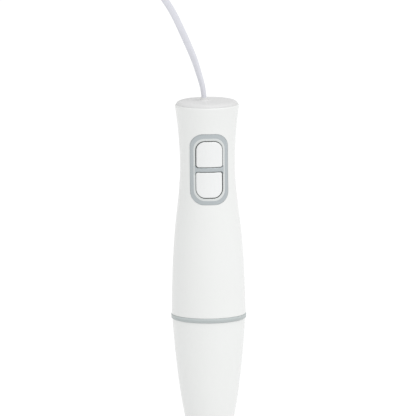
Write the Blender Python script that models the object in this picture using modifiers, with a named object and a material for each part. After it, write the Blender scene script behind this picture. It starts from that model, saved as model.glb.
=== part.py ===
"""Immersion blender: a waisted motor unit with two push buttons, standing on its push-on
blending foot, with its mains lead arching over to a tied hank that lies beside it.

Sizes are in millimetres, and MM turns them into metres as each mesh is made. The blender
stands on the rim of its blade guard at the origin, its axis runs along +Z, and its
buttons face -Y.
"""

from math import cos, pi, radians, sin, tau

import bmesh
import bpy
from mathutils import Matrix, Vector

MM = 0.001
GAP = 0.3  # between neighbours that touch on the real blender
STEPS_LARGE, STEPS_SMALL, STEPS_SCREW = 32, 16, 8

# Outlines of the outside, as (height, radius)
FOOT_SIDE = [
    (0, 32), (14, 31.9), (27, 30.2), (40, 26.2), (54, 20.6), (70, 18), (85, 18.9),
    (100, 21), (116, 23.8), (139, 26.9), (160, 29.1), (185.6, 31),
]
HANDLE_SIDE = [
    (190, 31.5), (216, 30.9), (244, 29.6), (271, 27.2), (292, 24.8), (316, 23.35),
    (340, 24.2), (356, 25.6), (368.1, 27.2),
]
WALL = 2.2

# Joint between foot and motor unit
FOOT_TOP, SOCKET_FLOOR = 185.6, 167.5
SPIGOT_R, SOCKET_R, SPIGOT_WALL = 27.8, 28.1, 2
RETAINER_Z, RETAINER_SECTION = 177, 0.75
RING_R, RING_BOTTOM, RING_TOP = 32, 186, 189.7
HANDLE_BOTTOM, HANDLE_TOP = 190, 368.1
BASE_SCREW_CIRCLE = 22.3
BASE_SCREW_TURNS = {"front": -90, "left": 150, "right": 30}  # degrees about Z

# Buttons and their bezel, in front view
BEZEL_HALF_W, BEZEL_BOTTOM, BEZEL_TOP, BEZEL_CORNER = 16.1, 286.6, 347, 11
BUTTON_HALF_W, BUTTON_CORNER, BUTTON_INNER_CORNER = 11.2, 7.6, 1.8
BUTTONS = {"lower": (292.3, 314), "upper": (318.5, 340.7)}
BUTTON_TRAVEL = 1.6
BOARD_FRONT, PLUNGER_END = -6.5, -9

# Drive train
SHAFT_R, BUSH_BORE_R, BUSH_R = 2.5, 2.65, 5
STACK_BOTTOM, STACK_TOP, STATOR_R, BORE_R, ARMATURE_R = 218, 238, 25, 14.2, 13.5
COMMUTATOR_R = 7
BOLT_Y = 22.4
CLAW_IN, CLAW_OUT, CLAW_ANGLE = 4.3, 9.2, 38
CLAWS = 4
BLADE_REACH, BLADE_Z = 23, 15

# Mains lead
GUARD_AT = (-2.4, -3)
CORD_D = 5.6
CORD_POINTS = 66
CORD_ROUTE = [
    (-2.4, -3, 377.4), (-2.9, -3, 385), (-5.2, -3, 394), (-9, -3, 407), (-14.4, -3, 420.5),
    (-20.4, -3, 433.6), (-27, -2.5, 446.8), (-34.5, -2, 459.5), (-47, -1, 474.5),
    (-66, 0, 488), (-92, 1, 496.5), (-122, 2, 498), (-152, 3.5, 490.5), (-179, 5, 475),
    (-200, 7, 452), (-214, 9, 422), (-222, 11, 388), (-226, 13, 345), (-227.5, 14.5, 290),
    (-228, 15.5, 225), (-228, 16.2, 160), (-228, 16.5, 105), (-227.3, 16.5, 72),
    (-224.5, 16.5, 47), (-217.5, 16.5, 25), (-206, 16.5, 10.5), (-195, 16.5, 4.4),
    (-184, 16.5, 3.2),
]
HANK_X, HANK_HALF_W, HANK_BOTTOM, HANK_TOP = (-189.2, -85.2), 19.3, 0.9, 12.5
TIE_WIDTH, TIE_WALL = 6, 0.9
PLUG_X, PLUG_HALF_W, PLUG_BOTTOM, PLUG_TOP = (-119, -84), 17.6, 12.8, 26.5
PLUG_NECK_R, PLUG_NECK_LENGTH = 3.6, 12
PIN_LENGTH, PIN_R, PIN_HALF_PITCH = 19, 2, 9.3

COLOURS = {  # base colour, roughness, metallic
    "white_shell": ((0.80, 0.81, 0.80), 0.35, 0),
    "button_white": ((0.82, 0.83, 0.83), 0.4, 0),
    "cap_grey": ((0.70, 0.70, 0.70), 0.5, 0),
    "trim_grey": ((0.42, 0.46, 0.47), 0.4, 0),
    "cord_pvc": ((0.62, 0.64, 0.69), 0.5, 0),
    "inner_plastic": ((0.75, 0.74, 0.70), 0.55, 0),
    "black_plastic": ((0.03, 0.03, 0.03), 0.5, 0),
    "rubber": ((0.10, 0.10, 0.11), 0.8, 0),
    "steel": ((0.62, 0.62, 0.64), 0.25, 1),
    "lamination": ((0.30, 0.30, 0.32), 0.5, 1),
    "copper": ((0.72, 0.33, 0.16), 0.35, 1),
    "bronze": ((0.55, 0.40, 0.22), 0.5, 1),
    "brass": ((0.70, 0.55, 0.25), 0.35, 1),
    "plated_brass": ((0.72, 0.71, 0.68), 0.3, 1),
    "carbon": ((0.05, 0.05, 0.06), 0.7, 0),
    "board": ((0.04, 0.25, 0.12), 0.5, 0),
}


# ---------------------------------------------------------------- scene and materials


def clear_scene():
    for obj in list(bpy.data.objects):
        bpy.data.objects.remove(obj, do_unlink=True)


def new_collection(name):
    made = bpy.data.collections.new(name)
    bpy.context.scene.collection.children.link(made)
    return made


def material(slot):
    """The slot's Principled material, made the first time it is asked for."""
    if slot in bpy.data.materials:
        return bpy.data.materials[slot]
    colour, roughness, metallic = COLOURS[slot]
    made = bpy.data.materials.new(slot)
    made.use_nodes = True
    shader = made.node_tree.nodes["Principled BSDF"]
    shader.inputs["Base Color"].default_value = (*colour, 1)
    shader.inputs["Roughness"].default_value = roughness
    shader.inputs["Metallic"].default_value = metallic
    return made


def add_object(name, data, slot=None):
    """A part when it has a material slot, and otherwise a hidden cutter or joined shape."""
    obj = bpy.data.objects.new(name, data)
    if slot:
        parts.objects.link(obj)
        data.materials.append(material(slot))
        return obj
    cutters.objects.link(obj)
    obj.hide_render = True
    obj.display_type = "WIRE"
    return obj


def add_mesh(name, bm, slot=None, smooth=False):
    mesh = bpy.data.meshes.new(name)
    bmesh.ops.recalc_face_normals(bm, faces=bm.faces[:])
    bm.to_mesh(mesh)
    bm.free()
    if smooth:
        mesh.shade_smooth()
        mesh.set_sharp_from_angle(angle=radians(35))
    return add_object(name, mesh, slot)


# ---------------------------------------------------------------- basic shapes


def box_into(bm, low, high, turn=None):
    """Adds a box between two corners, then turned by a matrix."""
    low, high = Vector(low) * MM, Vector(high) * MM
    place = Matrix.Translation((low + high) / 2) @ Matrix.Diagonal((*(high - low), 1))
    bmesh.ops.create_cube(bm, size=1, matrix=(turn or Matrix()) @ place)


def box(name, low, high, slot=None):
    bm = bmesh.new()
    box_into(bm, low, high)
    return add_mesh(name, bm, slot)


def rod_into(bm, radius, start, end, steps=STEPS_SMALL):
    """Adds a cylinder between two points."""
    start, end = Vector(start) * MM, Vector(end) * MM
    along = end - start
    turn = along.to_track_quat("Z", "Y").to_matrix().to_4x4()
    bmesh.ops.create_cone(
        bm, cap_ends=True, segments=steps, radius1=radius * MM, radius2=radius * MM,
        depth=along.length, matrix=Matrix.Translation((start + end) / 2) @ turn,
    )


def rod(name, radius, start, end, slot=None, steps=STEPS_SMALL):
    bm = bmesh.new()
    rod_into(bm, radius, start, end, steps)
    return add_mesh(name, bm, slot, smooth=True)


def turned(name, outline, slot=None, steps=STEPS_LARGE, at=(0, 0), closed=True):
    """Turns an outline of (radius, height) about Z. It runs down the outside and, where
    it is closed, back up the inside."""
    mesh = bpy.data.meshes.new(name)
    points = [(r * MM, 0, z * MM) for r, z in outline]
    edges = [(i, i + 1) for i in range(len(points) - 1)]
    if closed:
        edges.append((len(points) - 1, 0))
    mesh.from_pydata(points, edges, [])
    obj = add_object(name, mesh, slot)
    obj.location = (at[0] * MM, at[1] * MM, 0)
    screw = obj.modifiers.new("Turn", "SCREW")
    screw.steps = screw.render_steps = steps
    screw.use_merge_vertices = True
    screw.merge_threshold = 1e-5
    screw.use_smooth_shade = True
    return obj


def ring(name, outer, inner, low, high, slot=None, steps=STEPS_SMALL, at=(0, 0)):
    outline = [(outer, high), (outer, low), (inner, low), (inner, high)]
    return turned(name, outline, slot, steps, at)


def shaft(name, outline, slot=None, steps=STEPS_SMALL, at=(0, 0)):
    """A turned piece with no bore: its outline starts and ends on the axis."""
    top, bottom = outline[0][1], outline[-1][1]
    full = [(0, top), *outline, (0, bottom)]
    return turned(name, full, slot, steps, at, closed=False)


def as_mesh(curve_object):
    """The curve's evaluated shape as a mesh object with welded caps, in place of the curve."""
    bpy.context.view_layer.update()
    evaluated = curve_object.evaluated_get(bpy.context.evaluated_depsgraph_get())
    mesh = bpy.data.meshes.new_from_object(evaluated)
    bm = bmesh.new()
    bm.from_mesh(mesh)
    bmesh.ops.remove_doubles(bm, verts=bm.verts[:], dist=1e-6)
    bmesh.ops.recalc_face_normals(bm, faces=bm.faces[:])
    bm.to_mesh(mesh)
    bm.free()
    name, home = curve_object.name, curve_object.users_collection[0]
    made = bpy.data.objects.new(name + "_mesh", mesh)
    made.matrix_world = curve_object.matrix_world
    home.objects.link(made)
    made.hide_render, made.display_type = curve_object.hide_render, curve_object.display_type
    old = curve_object.data
    bpy.data.objects.remove(curve_object)
    bpy.data.curves.remove(old)
    made.name = name
    return made


def plate(name, outline, low, high, slot=None, upright=False):
    """A flat outline given thickness along Z, or along Y when it stands upright."""
    curve = bpy.data.curves.new(name, "CURVE")
    curve.dimensions = "2D"
    curve.fill_mode = "BOTH"
    curve.extrude = (high - low) / 2 * MM
    spline = curve.splines.new("POLY")
    spline.points.add(len(outline) - 1)
    for point, (u, v) in zip(spline.points, outline):
        point.co = (u * MM, v * MM, 0, 1)
    spline.use_cyclic_u = True
    obj = add_object(name, curve, slot)
    middle = (low + high) / 2 * MM
    if upright:
        obj.matrix_world = Matrix.Translation((0, middle, 0)) @ Matrix.Rotation(pi / 2, 4, "X")
    else:
        obj.matrix_world = Matrix.Translation((0, 0, middle))
    return as_mesh(obj)


def arc(centre, radius, start, end, steps):
    """Points on an arc, its angles in degrees."""
    turns = [radians(start + (end - start) * i / steps) for i in range(steps + 1)]
    return [(centre[0] + radius * cos(a), centre[1] + radius * sin(a)) for a in turns]


def rounded(low, high, bottom_r, top_r, steps=5):
    """A rectangle between two corners, with one radius for its lower and one for its
    upper corners."""
    (x0, y0), (x1, y1) = low, high
    return [
        *arc((x1 - top_r, y1 - top_r), top_r, 0, 90, steps),
        *arc((x0 + top_r, y1 - top_r), top_r, 90, 180, steps),
        *arc((x0 + bottom_r, y0 + bottom_r), bottom_r, 180, 270, steps),
        *arc((x1 - bottom_r, y0 + bottom_r), bottom_r, 270, 360, steps),
    ]


def sector(inner, outer, start, end, steps=4):
    return arc((0, 0), outer, start, end, steps) + arc((0, 0), inner, end, start, steps)


def wire(name, points, diameter, slot, resolution=2):
    curve = bpy.data.curves.new(name, "CURVE")
    curve.dimensions = "3D"
    curve.bevel_depth = diameter / 2 * MM
    curve.bevel_resolution = resolution
    curve.use_fill_caps = True
    spline = curve.splines.new("POLY")
    spline.points.add(len(points) - 1)
    for point, place in zip(spline.points, points):
        point.co = (*(Vector(place) * MM), 1)
    return add_object(name, curve, slot)


# ---------------------------------------------------------------- changing shapes


def boolean(obj, other, operation):
    modifier = obj.modifiers.new(other.name, "BOOLEAN")
    modifier.operation = operation
    modifier.object = other
    return obj


def cut(obj, *others):
    for other in others:
        boolean(obj, other, "DIFFERENCE")
    return obj


def join(obj, *others):
    for other in others:
        boolean(obj, other, "UNION")
    return obj


def keep(obj, other):
    return boolean(obj, other, "INTERSECT")


def radius_at(side, z):
    """The radius of a smooth outline at a height, by cubic curves through its points."""
    last = len(side) - 1
    i = max(0, min(last - 1, sum(z >= h for h, _ in side) - 1))
    (z0, r0), (z1, r1) = side[i], side[i + 1]
    slope = (r1 - r0) / (z1 - z0)
    before = side[i - 1] if i else (2 * z0 - z1, 2 * r0 - r1)
    after = side[i + 2] if i + 2 <= last else (2 * z1 - z0, 2 * r1 - r0)
    start = (slope + (r0 - before[1]) / (z0 - before[0])) / 2
    end = (slope + (after[1] - r1) / (after[0] - z1)) / 2
    t, span = (z - z0) / (z1 - z0), z1 - z0
    return (
        r0 * (2 * t**3 - 3 * t**2 + 1) + start * span * (t**3 - 2 * t**2 + t)
        + r1 * (3 * t**2 - 2 * t**3) + end * span * (t**3 - t**2)
    )


def side_line(side, low, high, inset=0, count=12):
    """(radius, height) points up an outline, moved in from it."""
    heights = [low + (high - low) * i / count for i in range(count + 1)]
    return [(radius_at(side, z) - inset, z) for z in heights]


def smooth_path(route, count):
    """Evenly spread points on a smooth curve through the points of a route."""
    knots = [Vector(p) for p in route]
    knots = [2 * knots[0] - knots[1], *knots, 2 * knots[-1] - knots[-2]]
    fine = []
    for a, b, c, d in zip(knots, knots[1:], knots[2:], knots[3:]):
        for i in range(12):
            t = i / 12
            fine.append(
                (2 * b + (c - a) * t + (2 * a - 5 * b + 4 * c - d) * t**2
                 + (3 * b - a - 3 * c + d) * t**3) / 2
            )
    fine.append(knots[-2])
    run = [0]
    for a, b in zip(fine, fine[1:]):
        run.append(run[-1] + (b - a).length)
    spread, j = [], 0
    for i in range(count):
        wanted = run[-1] * i / (count - 1)
        while j < len(run) - 2 and run[j + 1] < wanted:
            j += 1
        share = (wanted - run[j]) / (run[j + 1] - run[j])
        spread.append(fine[j].lerp(fine[j + 1], min(1, share)))
    return spread


def coil(centre, radius, low, high, turns, per_turn=7):
    """The centreline of a coil spring that runs along Y."""
    count = round(turns * per_turn)
    return [
        (
            centre[0] + radius * cos(tau * i / per_turn),
            low + (high - low) * i / count,
            centre[1] + radius * sin(tau * i / per_turn),
        )
        for i in range(count + 1)
    ]


def turn_z(degrees):
    return Matrix.Rotation(radians(degrees), 4, "Z")


# ---------------------------------------------------------------- foot


def make_foot_housing():
    """The one-piece foot: socket, tapering tube, bearing tube and bell guard."""
    outside = side_line(FOOT_SIDE, 0, FOOT_TOP, count=13)[::-1]
    chamber = [(29.6, 0), (29.6, 11), (28.6, 20), (25.6, 30), (20.8, 38), (15, 43), (7.6, 44)]
    bearing_tube = [(7.6, 38), (5.3, 38), (5.3, 58), (3.2, 58), (3.2, 72), (7.4, 72), (7.4, 48.5)]
    hollow = side_line(FOOT_SIDE, 49.5, 150, inset=WALL, count=4)
    socket = [
        (24.2, 152), (24.2, 154.7), (26.6, 154.7), (26.6, SOCKET_FLOOR - 1),
        (SOCKET_R, SOCKET_FLOOR), (SOCKET_R, RETAINER_Z - 2), (SOCKET_R + 0.8, RETAINER_Z - 1.4),
        (SOCKET_R + 0.8, RETAINER_Z + 1.4), (SOCKET_R, RETAINER_Z + 2), (SOCKET_R, FOOT_TOP - 1),
        (SOCKET_R + 0.5, FOOT_TOP),
    ]
    housing = turned(
        "foot_housing", outside + chamber + bearing_tube + hollow + socket, "white_shell"
    )
    bm = bmesh.new()
    for quarter in range(4):
        turn = turn_z(90 * quarter)
        box_into(bm, (24, -6.5, -4), (36, 6.5, 4.5), turn)
    scallops = add_mesh("guard_window_cutter", bm)
    bm = bmesh.new()
    for quarter in range(4):
        away = turn_z(90 * quarter)
        start, end = away @ Vector((24, 0, 4.5)), away @ Vector((36, 0, 4.5))
        rod_into(bm, 6.5, start, end, 16)
    return cut(housing, scallops, add_mesh("guard_arch_cutter", bm))


def make_foot_bearings():
    turned(
        "shaft_carrier",
        [
            (26.3, 158.5), (26.3, 155), (8, 155), (8, 143), (3.2, 143), (3.2, 146),
            (BUSH_R + GAP, 146), (BUSH_R + GAP, 158.5),
        ],
        "inner_plastic", STEPS_SMALL * 2,
    )
    ring("upper_foot_bushing", BUSH_R, BUSH_BORE_R, 146.3, 158.2, "bronze")
    ring("lower_foot_bushing", BUSH_R, BUSH_BORE_R, 45.3, 57.7, "bronze")
    turned(
        "shaft_seal",
        [(BUSH_R, 45), (BUSH_R, 38.6), (4.4, 38.2), (BUSH_BORE_R, 38.2), (BUSH_BORE_R, 45)],
        "rubber", STEPS_SMALL,
    )


def make_blade_shaft():
    shaft(
        "blade_shaft",
        [
            (SHAFT_R, 166.5), (SHAFT_R, 20.5), (4.2, 20.5), (4.2, 16.3), (SHAFT_R, 16.3),
            (SHAFT_R, 9.4),
        ],
        "steel",
    )
    clip = ring("shaft_clip", 4.8, 2.8, 158.8, 159.8, "steel")
    cut(clip, box("clip_mouth_cutter", (0, -1.4, 158), (6, 1.4, 161)))
    nut = rod("blade_nut", 4.3, (0, 0, 10.4), (0, 0, 13.6), "steel", steps=6)
    cut(nut, rod("nut_bore_cutter", 2.8, (0, 0, 9), (0, 0, 15)))


def blade_height(u, v):
    """How a point of the blade stands off its hub: one wing sweeps up, the other down."""
    lift = max(0, abs(u) - 0.3) / 0.7
    pitch = 1.6 * v * lift
    return 5 * lift**1.4 + pitch if u > 0 else -3.6 * lift**1.4 - pitch


def make_blade():
    bm = bmesh.new()
    bmesh.ops.create_grid(bm, x_segments=14, y_segments=4, size=1)
    for vert in bm.verts:
        u, v = vert.co.x, vert.co.y
        width = 6.2 - 2.6 * u**2
        vert.co = Vector((BLADE_REACH * u, width * v, BLADE_Z + blade_height(u, v))) * MM
    blade = add_mesh("blade", bm, "steel")
    skin = blade.modifiers.new("Sheet", "SOLIDIFY")
    skin.thickness = 1.4 * MM
    skin.offset = 0
    cut(blade, rod("blade_bore_cutter", 2.8, (0, 0, 10), (0, 0, 20)))


def claw_cutter(name, low, high, middle):
    """The four spaces between a coupling's claws, one claw being centred on middle."""
    bm = bmesh.new()
    for claw in range(CLAWS):
        start = middle + 360 / CLAWS * claw + CLAW_ANGLE / 2
        outline = sector(1, 14, start, start + 360 / CLAWS - CLAW_ANGLE)
        rims = [[bm.verts.new(Vector((x, y, z)) * MM) for x, y in outline] for z in (low, high)]
        bm.faces.new(rims[0])
        bm.faces.new(rims[1])
        for i, vert in enumerate(rims[0]):
            j = (i + 1) % len(outline)
            bm.faces.new((vert, rims[0][j], rims[1][j], rims[1][i]))
    return add_mesh(name, bm)


def make_couplings():
    """Claw halves: the motor's hangs down between the four claws of the foot's."""
    drive = turned(
        "drive_coupling",
        [
            (5, 187), (5, 182), (CLAW_OUT, 181), (CLAW_OUT, 171.5), (CLAW_IN, 171.5),
            (CLAW_IN, 176), (2.8, 176), (2.8, 187),
        ],
        "black_plastic", STEPS_SMALL,
    )
    cut(drive, claw_cutter("drive_claw_cutter", 170, 178, 0))
    driven = turned(
        "driven_coupling",
        [
            (CLAW_OUT, 177.4), (CLAW_OUT, 164), (5, 160.1), (2.8, 160.1), (2.8, 167),
            (CLAW_IN, 167), (CLAW_IN, 177.4),
        ],
        "black_plastic", STEPS_SMALL,
    )
    cut(driven, claw_cutter("driven_claw_cutter", 171, 179, 45))


# ---------------------------------------------------------------- handle


def handle_ring(name, outer_inset, inner_inset, low, high):
    """A turned layer that follows the outside of the handle."""
    outside = side_line(HANDLE_SIDE, low, high, outer_inset, 8)[::-1]
    return turned(name, outside + side_line(HANDLE_SIDE, low, high, inner_inset, 8))


def bezel_outline(grow=0):
    return rounded(
        (-BEZEL_HALF_W - grow, BEZEL_BOTTOM - grow), (BEZEL_HALF_W + grow, BEZEL_TOP + grow),
        BEZEL_CORNER + grow, BEZEL_CORNER + grow, 6,
    )


def button_outline(which, grow=0):
    low, high = BUTTONS[which]
    corners = (BUTTON_CORNER + grow, BUTTON_INNER_CORNER + grow)
    bottom, top = corners if which == "lower" else corners[::-1]
    return rounded(
        (-BUTTON_HALF_W - grow, low - grow), (BUTTON_HALF_W + grow, high + grow), bottom, top, 4
    )


def base_screw_place(which, reach=BASE_SCREW_CIRCLE):
    turn = radians(BASE_SCREW_TURNS[which])
    return (reach * cos(turn), reach * sin(turn))


def add_base_screw_bosses(shell, names):
    for which in names:
        x, y = base_screw_place(which)
        bm = bmesh.new()
        box_into(bm, (24, -1, 190.8), (30.2, 1, 201.8), turn_z(BASE_SCREW_TURNS[which]))
        join(
            shell,
            rod(f"{which}_boss", 3, (x, y, 190.6), (x, y, 202), steps=12),
            add_mesh(f"{which}_boss_rib", bm),
        )
        cut(shell, rod(f"{which}_boss_hole", 1.7, (x, y, 188), (x, y, 200), steps=10))


def make_shells():
    """Two half shells that meet in the plane y = 0."""
    outside = side_line(HANDLE_SIDE, HANDLE_BOTTOM, HANDLE_TOP, count=13)[::-1]
    outside[0:1] = [(26.7, HANDLE_TOP), (27.2, HANDLE_TOP - 1)]
    inside = side_line(HANDLE_SIDE, HANDLE_BOTTOM, HANDLE_TOP, WALL, 9)
    parting = GAP / 2
    for name, y_low, y_high, bosses in (
        ("front_shell", -40, -parting, ["front"]),
        ("rear_shell", parting, 40, ["left", "right"]),
    ):
        shell = turned(name, outside + inside, "white_shell")
        keep(shell, box(f"{name}_half", (-40, y_low, 180), (40, y_high, 380)))
        add_base_screw_bosses(shell, bosses)
    cut(
        bpy.data.objects["front_shell"],
        plate("bezel_opening_cutter", bezel_outline(GAP), -32, -8, upright=True),
    )
    bm = bmesh.new()
    for low, high, reach in ((192.5, 203.5, 26), (262, 272, 22)):
        for slot in range(-3, 4):
            box_into(bm, (reach, -0.9, low), (36, 0.9, high), turn_z(90 + 9 * slot))
    cut(bpy.data.objects["rear_shell"], add_mesh("vent_cutter", bm))


def make_top():
    cap = shaft(
        "top_cap",
        [
            (14, 372.6), (20.5, 372.2), (23.6, 371.3), (25.6, 369.9), (26.4, 368.4),
            (23.8, 368.4), (23.8, 363), (22, 363), (22, 369.6),
        ],
        "cap_grey", STEPS_LARGE,
    )
    x, y = GUARD_AT
    cut(cap, rod("guard_hole_cutter", 3.9, (x, y, 365), (x, y, 380)))
    shaft(
        "cord_guard",
        [
            (3.1, 377), (3.5, 372.4), (3.5, 369.2), (6.5, 369.2), (6.5, 366.5), (4, 366.5),
            (4, 352),
        ],
        "cap_grey", 16, at=GUARD_AT,
    )
    clamp = box("cord_clamp", (-20, y - 6, 353.5), (16, y + 6, 359), "inner_plastic")
    cut(clamp, rod("clamp_hole_cutter", 4.4, (x, y, 350), (x, y, 362)))


def make_bezel():
    bezel = plate("button_bezel", bezel_outline(), -32, -10, "trim_grey", upright=True)
    keep(bezel, handle_ring("bezel_layer", -0.4, 4.2, 280, 354))
    flange = plate("bezel_flange", bezel_outline(1.6), -32, -10, upright=True)
    keep(flange, handle_ring("bezel_flange_layer", WALL + GAP, 4.2, 280, 354))
    join(bezel, flange)
    for which in BUTTONS:
        cut(bezel, plate(f"{which}_window", button_outline(which, 0.35), -34, -6, upright=True))


def make_button(which):
    low, high = BUTTONS[which]
    middle = (low + high) / 2
    cap = plate(f"{which}_button", button_outline(which), -32, -12, "button_white", upright=True)
    keep(cap, handle_ring(f"{which}_button_layer", -1, 3, low - 6, high + 6))
    join(
        cap,
        box(f"{which}_button_core", (-8, -22, low + 1.5), (8, -16.2, high - 1.5)),
        box(f"{which}_button_lips", (-7, -17.3, low - 1.3), (7, -16.2, high + 1.3)),
        box(f"{which}_button_stem", (-1.5, -16.5, middle - 1.5), (1.5, -14.6, middle + 1.5)),
    )
    box(f"{which}_plunger", (-1, -14.3, middle - 1), (1, PLUNGER_END, middle + 1), "black_plastic")
    spring = coil((0, middle + 8.2), 2.3, -15.6, BOARD_FRONT - 0.7, 4.5)
    wire(f"{which}_button_spring", spring, 0.7, "steel", 0)


def make_switch_gear():
    box("switch_board", (-10, BOARD_FRONT, 289), (10, BOARD_FRONT + 1.6, 346), "board")
    for name, which in (("low_speed_switch", "upper"), ("turbo_switch", "lower")):
        middle = sum(BUTTONS[which]) / 2
        body = box(
            name, (-3.2, -12.6, middle - 5), (3.2, BOARD_FRONT - GAP, middle + 5), "black_plastic"
        )
        depth = PLUNGER_END + BUTTON_TRAVEL + 0.2
        cut(body, box(f"{name}_well", (-1.3, -14, middle - 1.3), (1.3, depth, middle + 1.3)))
    box("suppression_capacitor", (-7, -4.6, 296), (7, 3.6, 311), "inner_plastic")
    shaft(
        "speed_diode",
        [(0.4, 336), (0.4, 331), (1.7, 331), (1.7, 324), (0.4, 324), (0.4, 319)],
        "black_plastic", 8, at=(5, -2.9),
    )


def make_base():
    """The grey trim ring, and the coupling cover whose spigot fits the foot's socket."""
    turned(
        "trim_ring",
        [
            (31.6, RING_TOP), (RING_R, RING_TOP - 0.4), (RING_R, RING_BOTTOM + 0.4),
            (31.6, RING_BOTTOM), (29.3, RING_BOTTOM), (29.3, RING_TOP),
        ],
        "trim_grey",
    )
    inner = SPIGOT_R - SPIGOT_WALL
    cover = turned(
        "coupling_cover",
        [
            (29, 190), (29, 186.3), (SPIGOT_R, 186.3), (SPIGOT_R, RETAINER_Z + 1.3),
            (SPIGOT_R - 0.9, RETAINER_Z + 1), (SPIGOT_R - 0.9, RETAINER_Z - 1),
            (SPIGOT_R, RETAINER_Z - 1.3), (SPIGOT_R, 169), (inner, 168.4), (inner, 186.3),
            (13.2, 186.3), (13.2, 181), (11.5, 181), (11.5, 190),
        ],
        "inner_plastic",
    )
    for which in BASE_SCREW_TURNS:
        x, y = base_screw_place(which)
        cut(cover, rod(f"{which}_cover_hole", 1.8, (x, y, 184), (x, y, 193), steps=10))
        shaft(
            f"base_screw_{which}",
            [(1.35, 199), (1.35, 186), (2.8, 186), (2.8, 184.6), (2, 184)],
            "steel", STEPS_SCREW, at=(x, y),
        )
    section = arc((SPIGOT_R + 0.05, RETAINER_Z), RETAINER_SECTION, 60, -240, 5)
    turned("grip_ring", section, "rubber")


# ---------------------------------------------------------------- motor


def make_stator():
    core = ring("stator_core", STATOR_R, 20.5, STACK_BOTTOM, STACK_TOP, "lamination", 32)
    shoes = ring("pole_shoes", 16.2, BORE_R, STACK_BOTTOM, STACK_TOP, steps=32)
    keep(shoes, box("pole_shoe_span", (-18, -11, 210), (18, 11, 250)))
    necks = bmesh.new()
    for side in (-1, 1):
        ends = sorted((side * 15.3, side * 22))
        box_into(necks, (ends[0], -6, STACK_BOTTOM), (ends[1], 6, STACK_TOP))
    join(core, add_mesh("pole_necks", necks), shoes)
    for y in (-BOLT_Y, BOLT_Y):
        name = "front" if y < 0 else "rear"
        cut(core, rod(f"{name}_bolt_hole", 1.8, (0, y, 200), (0, y, 250), steps=10))
    for name, low, high in (("left", -24, -4), ("right", 4, 24)):
        coil_frame = box(
            f"field_coil_{name}", (low, -11, STACK_BOTTOM - 4.6), (high, 11, STACK_TOP + 4.6),
            "copper",
        )
        cut(coil_frame, box(f"{name}_coil_window", (-26, -6.4, 217.6), (26, 6.4, 238.4)))
        keep(coil_frame, ring(f"{name}_coil_layer", 20.1, 16.6, 205, 250, steps=32))
    ring("motor_damper", 27.3, STATOR_R + GAP, 222, 234, "rubber", 32)


def make_armature():
    shaft("armature_shaft", [(SHAFT_R, 269), (SHAFT_R, 176.5)], "steel")
    core = ring("armature_core", ARMATURE_R, 2.8, STACK_BOTTOM, STACK_TOP, "lamination", 36)
    bm = bmesh.new()
    for tooth in range(12):
        box_into(bm, (10.2, -0.8, 210), (16, 0.8, 245), turn_z(30 * tooth))
    cut(core, add_mesh("armature_slot_cutter", bm))
    for name, low, high in (("lower", 209.6, 217.7), ("upper", 238.3, 246.4)):
        outline = [(9, high), (12.4, high - 2.5), (12.4, low + 2.5), (9, low), (2.8, low)]
        outline.append((2.8, high))
        turned(f"{name}_armature_winding", outline, "copper", STEPS_SMALL)
    commutator = ring("commutator", COMMUTATOR_R, 2.8, 247, 257.6, "copper", 24)
    bm = bmesh.new()
    for bar in range(12):
        box_into(bm, (6.3, -0.2, 249), (8, 0.2, 260), turn_z(30 * bar + 15))
    cut(commutator, add_mesh("commutator_slot_cutter", bm))


def make_fan():
    fan = turned(
        "cooling_fan",
        [(5, 199.6), (5, 193.8), (18.4, 193), (18.4, 192), (2.8, 192), (2.8, 199.6)],
        "black_plastic", 24,
    )
    bm = bmesh.new()
    for vane in range(9):
        turn = turn_z(40 * vane) @ Matrix.Translation((0.011, 0, 0)) @ turn_z(18)
        box_into(bm, (-6.6, -0.5, 192.5), (6.6, 0.5, 199), turn)
    join(fan, add_mesh("fan_vanes", bm))


def make_brackets():
    lower = box("lower_motor_bracket", (-6, -25, 204), (6, 25, 207), "inner_plastic")
    hub = rod("lower_hub", 7.4, (0, 0, 201), (0, 0, 209), steps=24)
    upper = box("upper_motor_bracket", (-6, -24, 259.5), (6, 24, 262.5), "inner_plastic")
    arms = box("upper_bracket_arms", (-22.5, -4.6, 257), (22.5, 4.6, 262.5))
    room = rod("commutator_room", 9, (0, 0, 255), (0, 0, 259.5), steps=24)
    upper_hub = rod("upper_hub", 7.4, (0, 0, 259.8), (0, 0, 266.5), steps=24)
    join(lower, hub)
    join(upper, cut(arms, room), upper_hub)
    for y in (-BOLT_Y, BOLT_Y):
        name = "front" if y < 0 else "rear"
        join(lower, rod(f"{name}_lower_post", 2.5, (0, y, 205), (0, y, 217.7), steps=12))
        join(upper, rod(f"{name}_upper_post", 2.5, (0, y, 238.3), (0, y, 261), steps=12))
        hole = rod(f"{name}_bracket_hole", 1.7, (0, y, 198), (0, y, 270), steps=10)
        cut(lower, hole)
        cut(upper, hole)
        shaft(
            f"motor_screw_{name}",
            [(2, 265.4), (2.6, 264.6), (2.6, 262.8), (1.4, 262.8), (1.4, 204.5)],
            "steel", STEPS_SCREW, at=(0, y),
        )
    cut(lower, rod("lower_bearing_seat", BUSH_R + GAP, (0, 0, 199), (0, 0, 212)))
    cut(upper, rod("upper_bearing_seat", BUSH_R + GAP, (0, 0, 258), (0, 0, 270)))
    ring("lower_motor_bushing", BUSH_R, BUSH_BORE_R, 201, 208.6, "bronze")
    ring("upper_motor_bushing", BUSH_R, BUSH_BORE_R, 259.2, 266.5, "bronze")


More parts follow.
